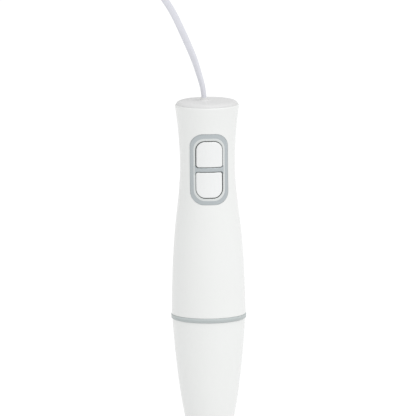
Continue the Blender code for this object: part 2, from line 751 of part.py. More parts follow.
def make_brush(name, side):
    """One brush holder, its end shut, with its carbon brush on the commutator."""
    low, high = sorted((side * 9, side * 22))
    holder = box(f"brush_holder_{name}", (low, -3.6, 249.4), (high, 3.6, 256.7), "brass")
    well = sorted((side * 8, side * 20.8))
    cut(holder, box(f"{name}_brush_well", (well[0], -2.9, 250.1), (well[1], 2.9, 256)))
    reach = sorted((side * (COMMUTATOR_R + GAP), side * 15.5))
    box(f"carbon_brush_{name}", (reach[0], -2.6, 250.4), (reach[1], 2.6, 255.7), "carbon")


# ---------------------------------------------------------------- mains lead


def make_lead():
    """The lead's free stretch, and the tied hank that its other end is folded into."""
    wire("power_cord", smooth_path(CORD_ROUTE, CORD_POINTS), CORD_D, "cord_pvc")
    low, high = (HANK_X[0], -HANK_HALF_W), (HANK_X[1], HANK_HALF_W)
    outline = rounded(low, high, HANK_HALF_W, HANK_HALF_W, 6)
    plate("cord_hank", outline, HANK_BOTTOM, HANK_TOP, "cord_pvc")
    middle = sum(HANK_X) / 2
    inner = HANK_HALF_W + GAP
    outer = HANK_HALF_W + TIE_WALL
    half = TIE_WIDTH / 2
    tie = box(
        "cord_tie", (middle - half, -outer, 0), (middle + half, outer, HANK_TOP + TIE_WALL), "cord_pvc"
    )
    opening = box(
        "tie_opening_cutter", (middle - TIE_WIDTH, -inner, HANK_BOTTOM - GAP),
        (middle + TIE_WIDTH, inner, HANK_TOP + GAP),
    )
    cut(tie, opening)


def make_plug():
    """A flat two-pin plug that lies on the hank: its neck points along -X and its pins
    along +X."""
    low, high = (PLUG_X[0], -PLUG_HALF_W), (PLUG_X[1], PLUG_HALF_W)
    body = plate("plug_body", rounded(low, high, 5, 5, 3), PLUG_BOTTOM, PLUG_TOP, "cord_pvc")
    middle = (PLUG_BOTTOM + PLUG_TOP) / 2
    neck_end = (PLUG_X[0] - PLUG_NECK_LENGTH, 0, middle)
    join(body, rod("plug_neck", PLUG_NECK_R, neck_end, (PLUG_X[0] + 3, 0, middle), steps=12))
    for name, y in (("left", PIN_HALF_PITCH), ("right", -PIN_HALF_PITCH)):
        start = (PLUG_X[1] + GAP, y, middle)
        end = (PLUG_X[1] + GAP + PIN_LENGTH, y, middle)
        rod(f"plug_pin_{name}", PIN_R, start, end, "plated_brass", steps=10)


# ---------------------------------------------------------------- assembly


BODIES = {  # each moving body's frame, which lies on its joint's axis, and its pieces
    "blade_frame": (
        (0, 0, BLADE_Z), ["blade_shaft", "driven_coupling", "shaft_clip", "blade", "blade_nut"]
    ),
    "rotor_frame": (
        (0, 0, (STACK_BOTTOM + STACK_TOP) / 2),
        [
            "armature_shaft", "armature_core", "lower_armature_winding",
            "upper_armature_winding", "commutator", "cooling_fan", "drive_coupling",
        ],
    ),
    "upper_button_frame": (
        (0, 0, sum(BUTTONS["upper"]) / 2), ["upper_button", "upper_plunger", "upper_button_spring"]
    ),
    "lower_button_frame": (
        (0, 0, sum(BUTTONS["lower"]) / 2), ["lower_button", "lower_plunger", "lower_button_spring"]
    ),
    "foot_frame": (
        (0, 0, 0),
        [
            "foot_housing", "shaft_carrier", "upper_foot_bushing", "lower_foot_bushing",
            "shaft_seal", "cord_hank", "cord_tie", "plug_body", "plug_pin_left",
            "plug_pin_right", "blade_frame",
        ],
    ),
}


def parent_to(frame, names):
    """Hangs objects on a frame, which leaves them where they are."""
    for name in names:
        obj = bpy.data.objects[name]
        obj.parent = frame
        obj.matrix_parent_inverse = frame.matrix_world.inverted()


def assemble():
    """Groups the pieces under one empty for each moving body, and the rest under the
    motor unit's, which lifts off the foot."""
    for name, (place, names) in BODIES.items():
        frame = bpy.data.objects.new(name, None)
        frame.location = Vector(place) * MM
        parts.objects.link(frame)
        bpy.context.view_layer.update()
        parent_to(frame, names)
    motor_unit = bpy.data.objects.new("motor_unit_frame", None)
    parts.objects.link(motor_unit)
    loose = [o.name for o in parts.objects if not o.parent and o != motor_unit]
    loose.remove("foot_frame")
    parent_to(motor_unit, loose)


def main():
    make_foot_housing()
    make_foot_bearings()
    make_blade_shaft()
    make_blade()
    make_couplings()
    make_shells()
    make_top()
    make_bezel()
    for which in BUTTONS:
        make_button(which)
    make_switch_gear()
    make_base()
    make_stator()
    make_armature()
    make_fan()
    make_brackets()
    make_brush("left", -1)
    make_brush("right", 1)
    make_lead()
    make_plug()
    assemble()


clear_scene()
parts = new_collection("immersion_blender")
cutters = new_collection("cutters")
main()
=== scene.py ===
"""Looks of a corded immersion blender, built around its CAD.

Shapes are worked out in millimetres, and MM turns them into metres as each mesh is made.
The blender stands on its guard at the origin, and its buttons face -Y.
"""

from contextlib import contextmanager
from math import cos, pi, radians, sin, tau

import bmesh
import bpy
import numpy as np
from bpy.props import FloatProperty, FloatVectorProperty, IntProperty, PointerProperty
from mathutils import Matrix, Vector


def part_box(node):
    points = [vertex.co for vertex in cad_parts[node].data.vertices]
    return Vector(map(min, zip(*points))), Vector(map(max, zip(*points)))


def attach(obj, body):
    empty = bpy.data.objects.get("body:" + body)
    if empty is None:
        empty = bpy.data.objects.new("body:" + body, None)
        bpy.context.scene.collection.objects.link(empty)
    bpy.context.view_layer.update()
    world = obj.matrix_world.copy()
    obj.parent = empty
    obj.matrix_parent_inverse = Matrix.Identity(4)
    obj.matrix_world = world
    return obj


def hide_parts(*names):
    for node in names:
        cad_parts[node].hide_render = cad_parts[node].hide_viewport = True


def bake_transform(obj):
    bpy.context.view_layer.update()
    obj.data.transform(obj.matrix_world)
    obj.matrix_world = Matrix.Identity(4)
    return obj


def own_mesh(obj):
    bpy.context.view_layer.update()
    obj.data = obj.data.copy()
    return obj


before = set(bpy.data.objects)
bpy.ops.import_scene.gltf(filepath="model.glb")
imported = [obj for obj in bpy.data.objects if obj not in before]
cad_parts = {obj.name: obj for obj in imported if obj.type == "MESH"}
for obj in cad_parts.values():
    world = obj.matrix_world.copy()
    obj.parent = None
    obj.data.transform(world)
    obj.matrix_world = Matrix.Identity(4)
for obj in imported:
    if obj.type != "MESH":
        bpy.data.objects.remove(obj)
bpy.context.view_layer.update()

bl_info = {
    "name": "Immersion blender",
    "version": (1, 0, 0),
    "blender": (4, 5, 0),
    "location": "3D View > Sidebar > Hand blender",
    "description": "Builds the visible surfaces of a corded immersion blender",
    "category": "Add Mesh",
}

MM = 0.001
SLIVER = 2e-6


def node_box(name):
    """A frame node's lowest and highest corner, in millimetres."""
    low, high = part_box(name)
    return np.array(low) / MM, np.array(high) / MM


# Outlines of the outside, as (height, radius)
FOOT_SIDE = [
    (0, 32), (14, 31.9), (27, 30.2), (40, 26.2), (54, 20.6), (70, 18), (85, 18.9),
    (100, 21), (116, 23.8), (139, 26.9), (160, 29.1), (185.6, 31),
]
HANDLE_SIDE = [
    (190, 31.5), (216, 30.9), (244, 29.6), (271, 27.2), (292, 24.8), (316, 23.35),
    (340, 24.2), (356, 25.6), (368.1, 27.2),
]
WALL = 2.2
FOOT_TOP = node_box("foot_housing")[1][2]
RING_LOW, RING_HIGH = (corner[2] for corner in node_box("trim_ring"))
HANDLE_LOW, HANDLE_HIGH = (corner[2] for corner in node_box("rear_shell"))
BEZEL_LOW, BEZEL_HIGH = 286.6, 347
BEZEL_HALF_W, BEZEL_CORNER = 16.1, 11
BUTTON_HALF_W, BUTTON_CORNER, BUTTON_INNER_CORNER = 11.2, 7.6, 1.8
BUTTON_SPANS = {"lower": (292.3, 314), "upper": (318.5, 340.7)}
WINDOW_GAP = 0.35
SPIGOT_R, SOCKET_R, RETAINER_Z = 27.8, 28.1, 177
BUSH_R, BUSH_BORE_R = 5, 2.65
SCREW_CIRCLE, STATOR_SCREW_R, SCREW_PITCH = 22.3, 22.4, 1.1
CLAWS, CLAW_ANGLE, CLAW_INNER_R, CLAW_OUTER_R = 4, 38, 4.3, 9.2
BLADE_Z, BLADE_REACH = 15, 23
GUARD_AT = (-2.4, -3)

# The lead: its free stretch, then the hank on the floor
FREE_ROUTE = [
    (-2.6, -3, 375.4), (-3.8, -3, 385), (-6.3, -3, 394), (-10.2, -3, 407), (-15.6, -3, 420.5),
    (-21.3, -3, 433.6), (-27.4, -2.5, 446.8), (-35, -2, 459.5), (-47, -1, 474.5),
    (-66, 0, 488), (-92, 1, 496.5), (-122, 2, 498), (-152, 3.5, 490.5), (-179, 5, 475),
    (-200, 7, 452), (-214, 9, 422), (-222, 11, 388), (-226, 13, 345), (-227.5, 14.5, 290),
    (-228, 15.5, 225), (-228, 16.2, 160), (-228, 16.5, 105), (-227.3, 16.5, 72),
    (-224.5, 16.5, 47), (-217.5, 16.5, 25), (-206, 16.5, 10.8), (-195, 16.5, 5),
    (-184, 16.8, 3.8),
]
FOLD_R, LAYERS_Z = 17.4, (3.8, 9.7)
HANK_TURNS = 2
TIE_X = sum(corner[0] for corner in node_box("cord_tie")) / 2
FOLD_ROOM = 19.3  # from the hank's ends to the centres of its folds
WAIST_HALF = 2.1  # from the hank's axis to the lead's axis, inside the tie
NECK_DEPTH = 1.5  # how far the lead enters the plug's neck
CLIMB_START = 70  # how long before a lap's end the lead starts to climb
CROSSING_RISE = 6.2  # how high above the upper layer it crosses on its way to the plug

# Springs behind the buttons, pressed along Y
SPRING_LENGTH, SPRING_R, SPRING_WIRE = 8.4, 2.3, 0.35
SPRING_SEAT_Y, SPRING_ABOVE = -7.2, 8.2
BUTTON_SHIFTS = {"lower": (-0.2, 0.15), "upper": (0.2, -0.15)}  # each button's play, as (x, z)

VENT_ROWS = [(192.9, 203.5, 26), (262, 272, 22)]  # lower end, upper end, depth to cut from
VENT_WIDTH, VENT_PITCH = 1.8, radians(9)
SHELL_MEAN_R = 28  # turns a distance along the shell into an angle

# The stage, in metres, apart from the lens
FLOOR_R, FLOOR_GAP = 16, 0.0002
KEY_SPREAD = radians(50)
CAMERA_AIM, CAMERA_DISTANCE, LENS = (0.00015, 0, 0.28), 8.0, 814
CAMERA_AZIMUTH, CAMERA_ELEVATION, CAMERA_ROLL = radians(-4), radians(9.1), radians(0.5)


# ---------------------------------------------------------------- settings


def tuned():
    return bpy.context.scene.handblender_sizes


def length_property(label, default, about):
    return FloatProperty(
        name=label, description=about, default=default, min=0.00001, unit="LENGTH", precision=5
    )


def colour_property(label, default, about):
    return FloatVectorProperty(
        name=label, description=about, default=default, min=0, max=1, size=3, subtype="COLOR"
    )


class HANDBLENDER_PG_colours(bpy.types.PropertyGroup):
    """Colours of the outside pieces."""

    shell: colour_property("Shell", (0.80, 0.81, 0.80), "White plastic of handle and foot")
    button: colour_property("Buttons", (0.81, 0.82, 0.82), "White plastic of the buttons")
    cap: colour_property("Cap", (0.69, 0.69, 0.69), "Light grey plastic of the cap")
    band: colour_property("Bezel band", (0.455, 0.493, 0.508), "Grey of the bezel's flat band")
    strip: colour_property("Bezel strip", (0.65, 0.675, 0.67), "Light grey of its inner strip")
    ring: colour_property("Joint ring", (0.475, 0.515, 0.515), "Grey of the ring at the joint")
    lead: colour_property("Lead", (0.68, 0.685, 0.735), "Pale lilac grey of the mains lead")


class HANDBLENDER_PG_sizes(bpy.types.PropertyGroup):
    """Sizes that a maker would tune."""

    cord_width: length_property("Lead width", 0.0058, "Wide side of the flat twin lead")
    cord_thickness: length_property("Lead thickness", 0.004, "Narrow side of the flat twin lead")
    bezel_proud: length_property("Bezel proud", 0.0004, "How far the bezel stands off the handle")
    button_proud: length_property("Button proud", 0.001, "How far the buttons stand off it")
    edge: length_property("Edge rounding", 0.0011, "Rounding of the buttons' edges")
    parting: length_property("Parting edge", 0.00025, "Rounding along the shells' parting line")
    steps: IntProperty(
        name="Steps", description="Faces around a large turned piece", default=192, min=24
    )
    vents: IntProperty(name="Vents", description="Air slots in each row", default=7, min=1)


class HANDBLENDER_PG_stage(bpy.types.PropertyGroup):
    """Light and floor."""

    sky: FloatProperty(name="Sky", description="Strength of the even light", default=0.73, min=0)
    key: FloatProperty(name="Key", description="Strength of the soft key", default=1.25, min=0)
    key_side: FloatProperty(
        name="Key side", description="The key's turn to the right of the front",
        default=radians(30), subtype="ANGLE",
    )
    key_height: FloatProperty(
        name="Key height", description="The key's height above the floor",
        default=radians(60), subtype="ANGLE",
    )
    floor: colour_property("Floor", (0.95, 0.95, 0.95), "Pale studio floor")


# ---------------------------------------------------------------- materials


def feed(tree, socket, value):
    """Gives a socket its value, or links it to another socket."""
    if isinstance(value, Number):
        value = value.socket
    if isinstance(value, bpy.types.NodeSocket):
        tree.links.new(value, socket)
    elif socket.type == "RGBA":
        socket.default_value = (*value, 1)
    else:
        socket.default_value = value


def add_node(tree, kind, settings=None, sockets=None):
    """Adds a node: its settings first, and then its sockets' values or links."""
    made = tree.nodes.new(kind)
    for label, value in (settings or {}).items():
        setattr(made, label, value)
    for label, value in (sockets or {}).items():
        feed(tree, made.inputs[label], value)
    return made


class Number:
    """A shader socket that Python's operators turn into Math nodes."""

    def __init__(self, finish, socket):
        self.finish = finish
        self.socket = socket

    def math(self, operation, first, second):
        made = self.finish.node("ShaderNodeMath", {"operation": operation}, {0: first, 1: second})
        return Number(self.finish, made.outputs[0])

    def __add__(self, other):
        return self.math("ADD", self, other)

    def __rsub__(self, other):
        return self.math("SUBTRACT", other, self)

    def __mul__(self, other):
        return self.math("MULTIPLY", self, other)

    def above(self, edge):
        return self.math("GREATER_THAN", self, edge)


class Finish:
    """A Principled material under construction."""

    def __init__(self, name, **shader):
        self.material = bpy.data.materials.new(name)
        self.material.use_nodes = True
        self.tree = self.material.node_tree
        self.shader = self.tree.nodes["Principled BSDF"]
        self.coordinates = self.node("ShaderNodeTexCoord").outputs["Object"]
        for label, value in shader.items():
            self.set(label.replace("_", " "), value)

    def node(self, kind, settings=None, sockets=None):
        return add_node(self.tree, kind, settings, sockets)

    def set(self, label, value):
        feed(self.tree, self.shader.inputs[label], value)

    def noise(self, scale, stretch=(1, 1, 1), detail=2, source=None):
        """Noise in the piece's own coordinates, about 0.5 on average."""
        placed = self.node(
            "ShaderNodeMapping", None, {"Vector": source or self.coordinates, "Scale": stretch}
        )
        made = self.node(
            "ShaderNodeTexNoise", None,
            {"Vector": placed.outputs[0], "Scale": scale, "Detail": detail},
        )
        return Number(self, made.outputs["Fac"])

    def bands(self, scale, distortion=0):
        """Even bands across Z."""
        made = self.node(
            "ShaderNodeTexWave", {"bands_direction": "Z"},
            {"Vector": self.coordinates, "Scale": scale, "Distortion": distortion},
        )
        return Number(self, made.outputs["Fac"])

    def height(self):
        parts = self.node("ShaderNodeSeparateXYZ", None, {"Vector": self.coordinates})
        return Number(self, parts.outputs["Z"])

    def mixed(self, factor, first, second):
        made = self.node("ShaderNodeMix", {"data_type": "RGBA"}, {0: factor, 6: first, 7: second})
        return made.outputs[2]

    def bump(self, height, distance, strength):
        made = self.node(
            "ShaderNodeBump", None, {"Strength": strength, "Distance": distance, "Height": height}
        )
        self.set("Normal", made.outputs[0])

    def done(self, colour, roughness, height, depth, strength=1.0):
        """The finished material, from its colour, its roughness and the height of its relief."""
        self.set("Base Color", colour)
        self.set("Roughness", roughness)
        self.bump(height, depth, strength)
        return self.material


def tinted(colour, share):
    return tuple(min(1, c * share) for c in colour)


def moulded(name, colour, roughness, grain=0.000012, cloud=0.015, coat=0.0, metallic=0.0):
    """Injection-moulded plastic: slow shade changes, and the fine texture of its mould."""
    finish = Finish(name, IOR=1.49, Coat_Weight=coat, Coat_Roughness=0.12, Metallic=metallic)
    slow = finish.noise(14, detail=1)
    texture = finish.noise(1500, detail=3)
    pale, dark = tinted(colour, 1 + cloud), tinted(colour, 1 - cloud)
    shade = finish.mixed(slow, dark, pale)
    return finish.done(shade, texture * 0.10 + slow * 0.06 + (roughness - 0.08), texture, grain)


def ring_with_painted_shade(name, colour, split):
    """The joint ring's plastic, with painted light and shade: its upper step is painted a little
    lighter and its lower step a shade darker than its upper one, as light from above would fall on
    them.
    """
    finish = Finish(name, IOR=1.49)
    # painted shade below the split height and painted light above it, not two colours of plastic
    lower = 1 - finish.height().above(split * MM)
    texture = finish.noise(1500, detail=3)
    shade = finish.mixed(lower, tinted(colour, 1.03), tinted(colour, 0.93))
    return finish.done(shade, texture * 0.12 + 0.34, texture, 0.00001)


def ground_metal(name, colour, roughness, stretch=(1, 1, 1), scale=900, depth=0.000008):
    """Metal with fine grinding lines, drawn out along the axis whose stretch is small."""
    finish = Finish(name, Metallic=1.0)
    lines = finish.noise(scale, stretch, detail=4)
    stain = finish.noise(60, detail=2)
    shade = finish.mixed(stain, tinted(colour, 0.9), tinted(colour, 1.06))
    return finish.done(shade, lines * 0.22 + (roughness - 0.1), lines, depth, 0.6)


def rubber_finish(name, colour):
    finish = Finish(name, IOR=1.52)
    bloom = finish.noise(90, detail=3)
    pores = finish.noise(1800, detail=2)
    shade = finish.mixed(bloom, tinted(colour, 0.8), tinted(colour, 1.35))
    return finish.done(shade, bloom * 0.15 + 0.68, pores, 0.00003)


def lead_finish(name, colour):
    """Soft PVC sheath, with faint drawing lines along its length."""
    finish = Finish(name, IOR=1.5)
    along = finish.node("ShaderNodeUVMap", {"uv_map": "along_lead"}).outputs[0]
    drawn = finish.noise(6, (0.05, 9, 1), 2, along)
    slow = finish.noise(3, (0.6, 0.4, 1), 1, along)
    shade = finish.mixed(slow, tinted(colour, 0.965), tinted(colour, 1.03))
    return finish.done(shade, drawn * 0.12 + 0.42, drawn, 0.00004)


def laminated(name):
    """Stacked sheet steel: one dark joint for each millimetre."""
    finish = Finish(name, Metallic=1.0)
    sheets = finish.bands(320)
    rust = finish.noise(120, detail=3)
    steel = finish.mixed(rust, (0.26, 0.26, 0.28), (0.42, 0.41, 0.41))
    shade = finish.mixed(sheets, (0.07, 0.07, 0.08), steel)
    return finish.done(shade, rust * 0.2 + 0.38, sheets, 0.00006)


def enamelled(name):
    """Enamelled copper wire, wound in close turns, with painted shade in the grooves between them.
    """
    finish = Finish(name, Metallic=0.9, Coat_Weight=0.6, Coat_Roughness=0.2)
    turns = finish.bands(520, 0.6)
    tone = finish.noise(240, detail=2)
    copper = finish.mixed(tone, (0.46, 0.16, 0.06), (0.74, 0.32, 0.13))
    # painted shade: the dark bands stand for the shade in the grooves between the turns
    shade = finish.mixed(turns, (0.20, 0.06, 0.02), copper)
    return finish.done(shade, tone * 0.2 + 0.25, turns, 0.00015)


def circuit_board(name):
    """Green solder mask over copper tracks."""
    finish = Finish(name, IOR=1.5)
    grid = finish.node(
        "ShaderNodeTexBrick", {"offset": 0.5},
        {
            "Vector": finish.coordinates, "Scale": 260, "Mortar Size": 0.1,
            "Color1": (0.02, 0.17, 0.07), "Color2": (0.03, 0.23, 0.09),
            "Mortar": (0.10, 0.34, 0.12),
        },
    )
    weave = finish.noise(900, detail=2)
    tracks = grid.outputs["Fac"]
    return finish.done(grid.outputs["Color"], weave * 0.15 + 0.3, tracks, 0.00004)


finishes_made = {}


def finish_for(slot):
    """The material of a finish, made the first time it is asked for."""
    colours = bpy.context.scene.handblender_colours
    makers = {
        "white_shell": lambda: moulded("white_abs", colours.shell, 0.36, coat=0.15),
        "button_white": lambda: moulded("button_abs", colours.button, 0.40, coat=0.1),
        "cap_grey": lambda: moulded("cap_plastic", colours.cap, 0.52, 0.00003),
        "trim_grey": lambda: moulded("bezel_plastic", colours.band, 0.36, metallic=0.3),
        "trim_strip": lambda: moulded("bezel_strip_plastic", colours.strip, 0.36),
        # the joint ring's finish paints light on its upper step and shade on its lower step
        "trim_ring": lambda: ring_with_painted_shade("ring_plastic", colours.ring, RING_LOW + 1.8),
        "lead": lambda: lead_finish("lead_pvc", colours.lead),
        "cord_pvc": lambda: moulded("moulded_pvc", colours.lead, 0.5, 0.00003),
        "inner_plastic": lambda: moulded("natural_nylon", (0.70, 0.69, 0.64), 0.5, 0.00003, 0.04),
        "black_plastic": lambda: moulded("black_nylon", (0.025, 0.025, 0.028), 0.45, 0.00003, 0.1),
        "rubber": lambda: rubber_finish("nitrile_rubber", (0.03, 0.03, 0.033)),
        "steel": lambda: ground_metal("ground_steel", (0.62, 0.62, 0.63), 0.3, (1, 1, 0.05)),
        "blade_steel": lambda: ground_metal(
            "blade_steel", (0.66, 0.66, 0.67), 0.24, (0.06, 1, 1), 2200, 0.000004
        ),
        "plated_brass": lambda: ground_metal(
            "nickel_plate", (0.71, 0.70, 0.66), 0.28, (0.05, 1, 1)
        ),
        "lamination": lambda: laminated("laminations"),
        "copper": lambda: enamelled("enamelled_wire"),
        "bronze": lambda: ground_metal("sintered_bronze", (0.50, 0.35, 0.18), 0.55),
        "brass": lambda: ground_metal("brass_sheet", (0.72, 0.55, 0.24), 0.35, (0.1, 1, 1)),
        "carbon": lambda: rubber_finish("graphite", (0.045, 0.045, 0.05)),
        "board": lambda: circuit_board("solder_mask"),
    }
    if slot not in finishes_made:
        finishes_made[slot] = makers[slot]()
    return finishes_made[slot]


# ---------------------------------------------------------------- outlines


def curve_through(points):
    """The smoothest curve through (height, radius) points, as a function that gives the
    radius and its slope at any heights."""
    z, r = np.array(points, float).T
    span = np.diff(z)
    size = len(z)
    matrix, right = np.eye(size), np.zeros(size)
    for i in range(1, size - 1):
        matrix[i, i - 1:i + 2] = span[i - 1], 2 * (span[i - 1] + span[i]), span[i]
        right[i] = 6 * ((r[i + 1] - r[i]) / span[i] - (r[i] - r[i - 1]) / span[i - 1])
    bend = np.linalg.solve(matrix, right)

    def at(height):
        i = np.clip(np.searchsorted(z, height) - 1, 0, size - 2)
        a, b, h = z[i + 1] - height, height - z[i], span[i]
        low, high = r[i] / h - bend[i] * h / 6, r[i + 1] / h - bend[i + 1] * h / 6
        radius = (bend[i] * a**3 + bend[i + 1] * b**3) / (6 * h) + low * a + high * b
        slope = (bend[i + 1] * b**2 - bend[i] * a**2) / (2 * h) - low + high
        return radius, slope

    return at


handle_at = curve_through(HANDLE_SIDE)
foot_at = curve_through(FOOT_SIDE)


def side_line(curve, low, high, inset=0.0, count=60):
    """(radius, height) points up a curve, moved in from it."""
    heights = np.linspace(low, high, count + 1)
    return [(r - inset, z) for r, z in zip(curve(heights)[0], heights)]


def softened(corners, steps=4, closed=True):
    """An outline whose corners, given as (radius, height, rounding), are rounded off."""
    made, count = [], len(corners)
    for i, (x, y, rounding) in enumerate(corners):
        here = np.array((x, y), float)
        inner = closed or 0 < i < count - 1
        if not rounding or not inner:
            made.append(tuple(here))
            continue
        before = np.array(corners[i - 1][:2], float) - here
        after = np.array(corners[(i + 1) % count][:2], float) - here
        start = here + before / np.linalg.norm(before) * rounding
        end = here + after / np.linalg.norm(after) * rounding
        for t in np.linspace(0, 1, steps + 1):
            made.append(tuple(start * (1 - t) ** 2 + 2 * here * t * (1 - t) + end * t**2))
    return made


def round_rect(half_w, low, high, bottom_r, top_r, inset=0.0, arc=10, edge=8):
    """Points around a rectangle with round corners, as (x, z), starting on its right."""
    half_w, low, high = half_w - inset, low + inset, high - inset
    bottom_r, top_r = max(bottom_r - inset, 0.2), max(top_r - inset, 0.2)
    centres = [
        (half_w - top_r, high - top_r, top_r, 0), (top_r - half_w, high - top_r, top_r, 90),
        (bottom_r - half_w, low + bottom_r, bottom_r, 180),
        (half_w - bottom_r, low + bottom_r, bottom_r, 270),
    ]
    corners = []
    for x, z, r, start in centres:
        turns = np.radians(start + np.linspace(0, 90, arc + 1))
        corners.append(np.stack([x + r * np.cos(turns), z + r * np.sin(turns)], 1))
    made = []
    for i, corner in enumerate(corners):
        following = corners[(i + 1) % 4][0]
        share = np.linspace(0, 1, edge + 1)[1:-1, None]
        made += [corner, corner[-1] * (1 - share) + following * share]
    return np.concatenate(made)


# ---------------------------------------------------------------- meshes


def full_turn(count):
    return np.linspace(0, tau, count, endpoint=False)


@contextmanager
def editing(mesh):
    """A mesh's points and faces, open to changes and then written back to it."""
    bm = bmesh.new()
    bm.from_mesh(mesh)
    yield bm
    bm.to_mesh(mesh)
    bm.free()


def linked(name, data):
    """A new object in the scene."""
    obj = bpy.data.objects.new(name, data)
    bpy.context.scene.collection.objects.link(obj)
    return obj


def new_object(name, mesh, slots=(), angle=32):
    """An object for a mesh whose points are already in metres."""
    obj = linked(name, mesh)
    for slot in slots:
        mesh.materials.append(finish_for(slot))
    mesh.shade_smooth()
    mesh.set_sharp_from_angle(angle=radians(angle))
    return obj


def build(name, points, faces, slots=(), angle=32, face_slots=None):
    """A closed mesh from points in millimetres, its doubles merged and its faces turned out."""
    mesh = bpy.data.meshes.new(name)
    mesh.from_pydata([tuple(p) for p in np.asarray(points, float) * MM], [], faces)
    if face_slots is not None:
        mesh.polygons.foreach_set("material_index", face_slots)
    with editing(mesh) as bm:
        bmesh.ops.remove_doubles(bm, verts=bm.verts[:], dist=1e-7)
        bmesh.ops.recalc_face_normals(bm, faces=bm.faces[:])
    return new_object(name, mesh, slots, angle)


def quads(rows, columns, wrap_rows=False, wrap_columns=False):
    """Faces between neighbouring rows and columns of a grid of points."""
    made = []
    for i in range(rows if wrap_rows else rows - 1):
        for j in range(columns if wrap_columns else columns - 1):
            a, b = i * columns, (i + 1) % rows * columns
            k = (j + 1) % columns
            made.append((a + j, a + k, b + k, b + j))
    return made


def lathe(name, outline, slots=(), steps=None, at=(0, 0), closed=True, angle=32):
    """Turns an outline of (radius, height) about Z."""
    steps = steps or tuned().steps
    r, z = np.array(outline, float).T
    turns = full_turn(steps)[:, None]
    x, y = at[0] + r * np.cos(turns), at[1] + r * np.sin(turns)
    points = np.stack([x, y, np.broadcast_to(z, (steps, len(z)))], 2)
    faces = quads(steps, len(z), wrap_rows=True, wrap_columns=closed)
    return build(name, points.reshape(-1, 3), faces, slots, angle)


def rings(name, loops, slots=(), angle=32, wrap=False, loop_slots=None):
    """Joins closed loops of points, one after the other, and closes both ends, or joins the
    last loop to the first."""
    loops = [np.asarray(loop, float) for loop in loops]
    count, size = len(loops), len(loops[0])
    faces = quads(count, size, wrap_rows=wrap, wrap_columns=True)
    face_slots = [loop_slots[i // size] for i in range(len(faces))] if loop_slots else None
    if not wrap:
        faces += [tuple(range(size)), tuple(range((count - 1) * size, count * size))]
    return build(name, np.concatenate(loops), faces, slots, angle, face_slots)


def settled(obj):
    """Bakes an object's modifiers into its mesh."""
    bpy.context.view_layer.update()
    evaluated = obj.evaluated_get(bpy.context.evaluated_depsgraph_get())
    mesh = bpy.data.meshes.new_from_object(evaluated)
    obj.modifiers.clear()
    obj.data = mesh
    return obj


def combine(obj, other, operation="DIFFERENCE"):
    """A Boolean with another object, which is then removed, and its slivers with it."""
    modifier = obj.modifiers.new("Carve", "BOOLEAN")
    modifier.operation = operation
    modifier.object = other
    settled(obj)
    bpy.data.objects.remove(other)
    with editing(obj.data) as bm:
        bmesh.ops.dissolve_degenerate(bm, edges=bm.edges[:], dist=SLIVER)
    obj.data.set_sharp_from_angle(angle=radians(32))
    return obj


def merged(obj, *others):
    """Puts other objects' meshes into the first one's."""
    with editing(obj.data) as bm:
        for other in others:
            bm.from_mesh(other.data)
            bpy.data.objects.remove(other)
    return obj


def shine_as_turned(obj, curve, low, high):
    """Gives the turned outside its own smooth normals, so that cuts leave no dents in its
    shine."""
    mesh = obj.data
    points = np.empty(len(mesh.vertices) * 3)
    mesh.vertices.foreach_get("co", points)
    points = points.reshape(-1, 3) / MM
    reach = np.hypot(points[:, 0], points[:, 1])
    radius, slope = curve(np.clip(points[:, 2], low, high))
    normals = np.stack([points[:, 0] / reach, points[:, 1] / reach, -slope], 1)
    normals /= np.linalg.norm(normals, axis=1)[:, None]
    outside = (abs(reach - radius) < 0.02) & (points[:, 2] > low) & (points[:, 2] < high)
    wanted = [(0.0, 0.0, 0.0)] * len(mesh.loops)
    for polygon in mesh.polygons:
        for loop in polygon.loop_indices:
            vertex = mesh.loops[loop].vertex_index
            if outside[vertex] and Vector(normals[vertex]).dot(polygon.normal) > 0.98:
                wanted[loop] = tuple(normals[vertex])
    mesh.normals_split_custom_set(wanted)
    return obj


def drill(name, radius, low, high, steps=48, at=(0, 0)):
    """An upright cylinder to cut with."""
    return lathe(name, [(0, high), (radius, high), (radius, low), (0, low)], (), steps, at, False)


def moved(obj, at, turn, axis):
    """Turns a piece's mesh about an axis and then moves it, in millimetres."""
    obj.data.transform(Matrix.Translation(Vector(at) * MM) @ Matrix.Rotation(turn, 4, axis))
    return obj


def place(obj, body, nodes):
    """Hands a finished piece over: the body it rides on, and the nodes it stands for."""
    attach(obj, body)
    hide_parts(*nodes)
    return obj


def turned(name, body, node, slot, outline, steps=None, closed=True, at=(0, 0), finish=None):
    """A turned piece with rounded corners, handed over."""
    piece = lathe(name, softened(outline, closed=closed), [finish or slot], steps, at, closed)
    return place(piece, body, [node])


# ---------------------------------------------------------------- repeats, by Geometry Nodes


def tree_with(name, inputs):
    """A Geometry Nodes tree with named inputs, its ends and a function that adds nodes."""
    tree = bpy.data.node_groups.new(name, "GeometryNodeTree")
    for label, kind in inputs.items():
        tree.interface.new_socket(label, in_out="INPUT", socket_type=f"NodeSocket{kind}")
    tree.interface.new_socket("Geometry", in_out="OUTPUT", socket_type="NodeSocketGeometry")
    given = tree.nodes.new("NodeGroupInput").outputs
    result = tree.nodes.new("NodeGroupOutput").inputs[0]

    def add(*described):
        return add_node(tree, *described)

    def close(geometry):
        real = add("GeometryNodeRealizeInstances", None, {0: geometry})
        coloured = add(
            "GeometryNodeSetMaterial", None,
            {"Geometry": real.outputs[0], "Material": given["Material"]},
        )
        tree.links.new(coloured.outputs[0], result)
        return tree

    return given, add, close


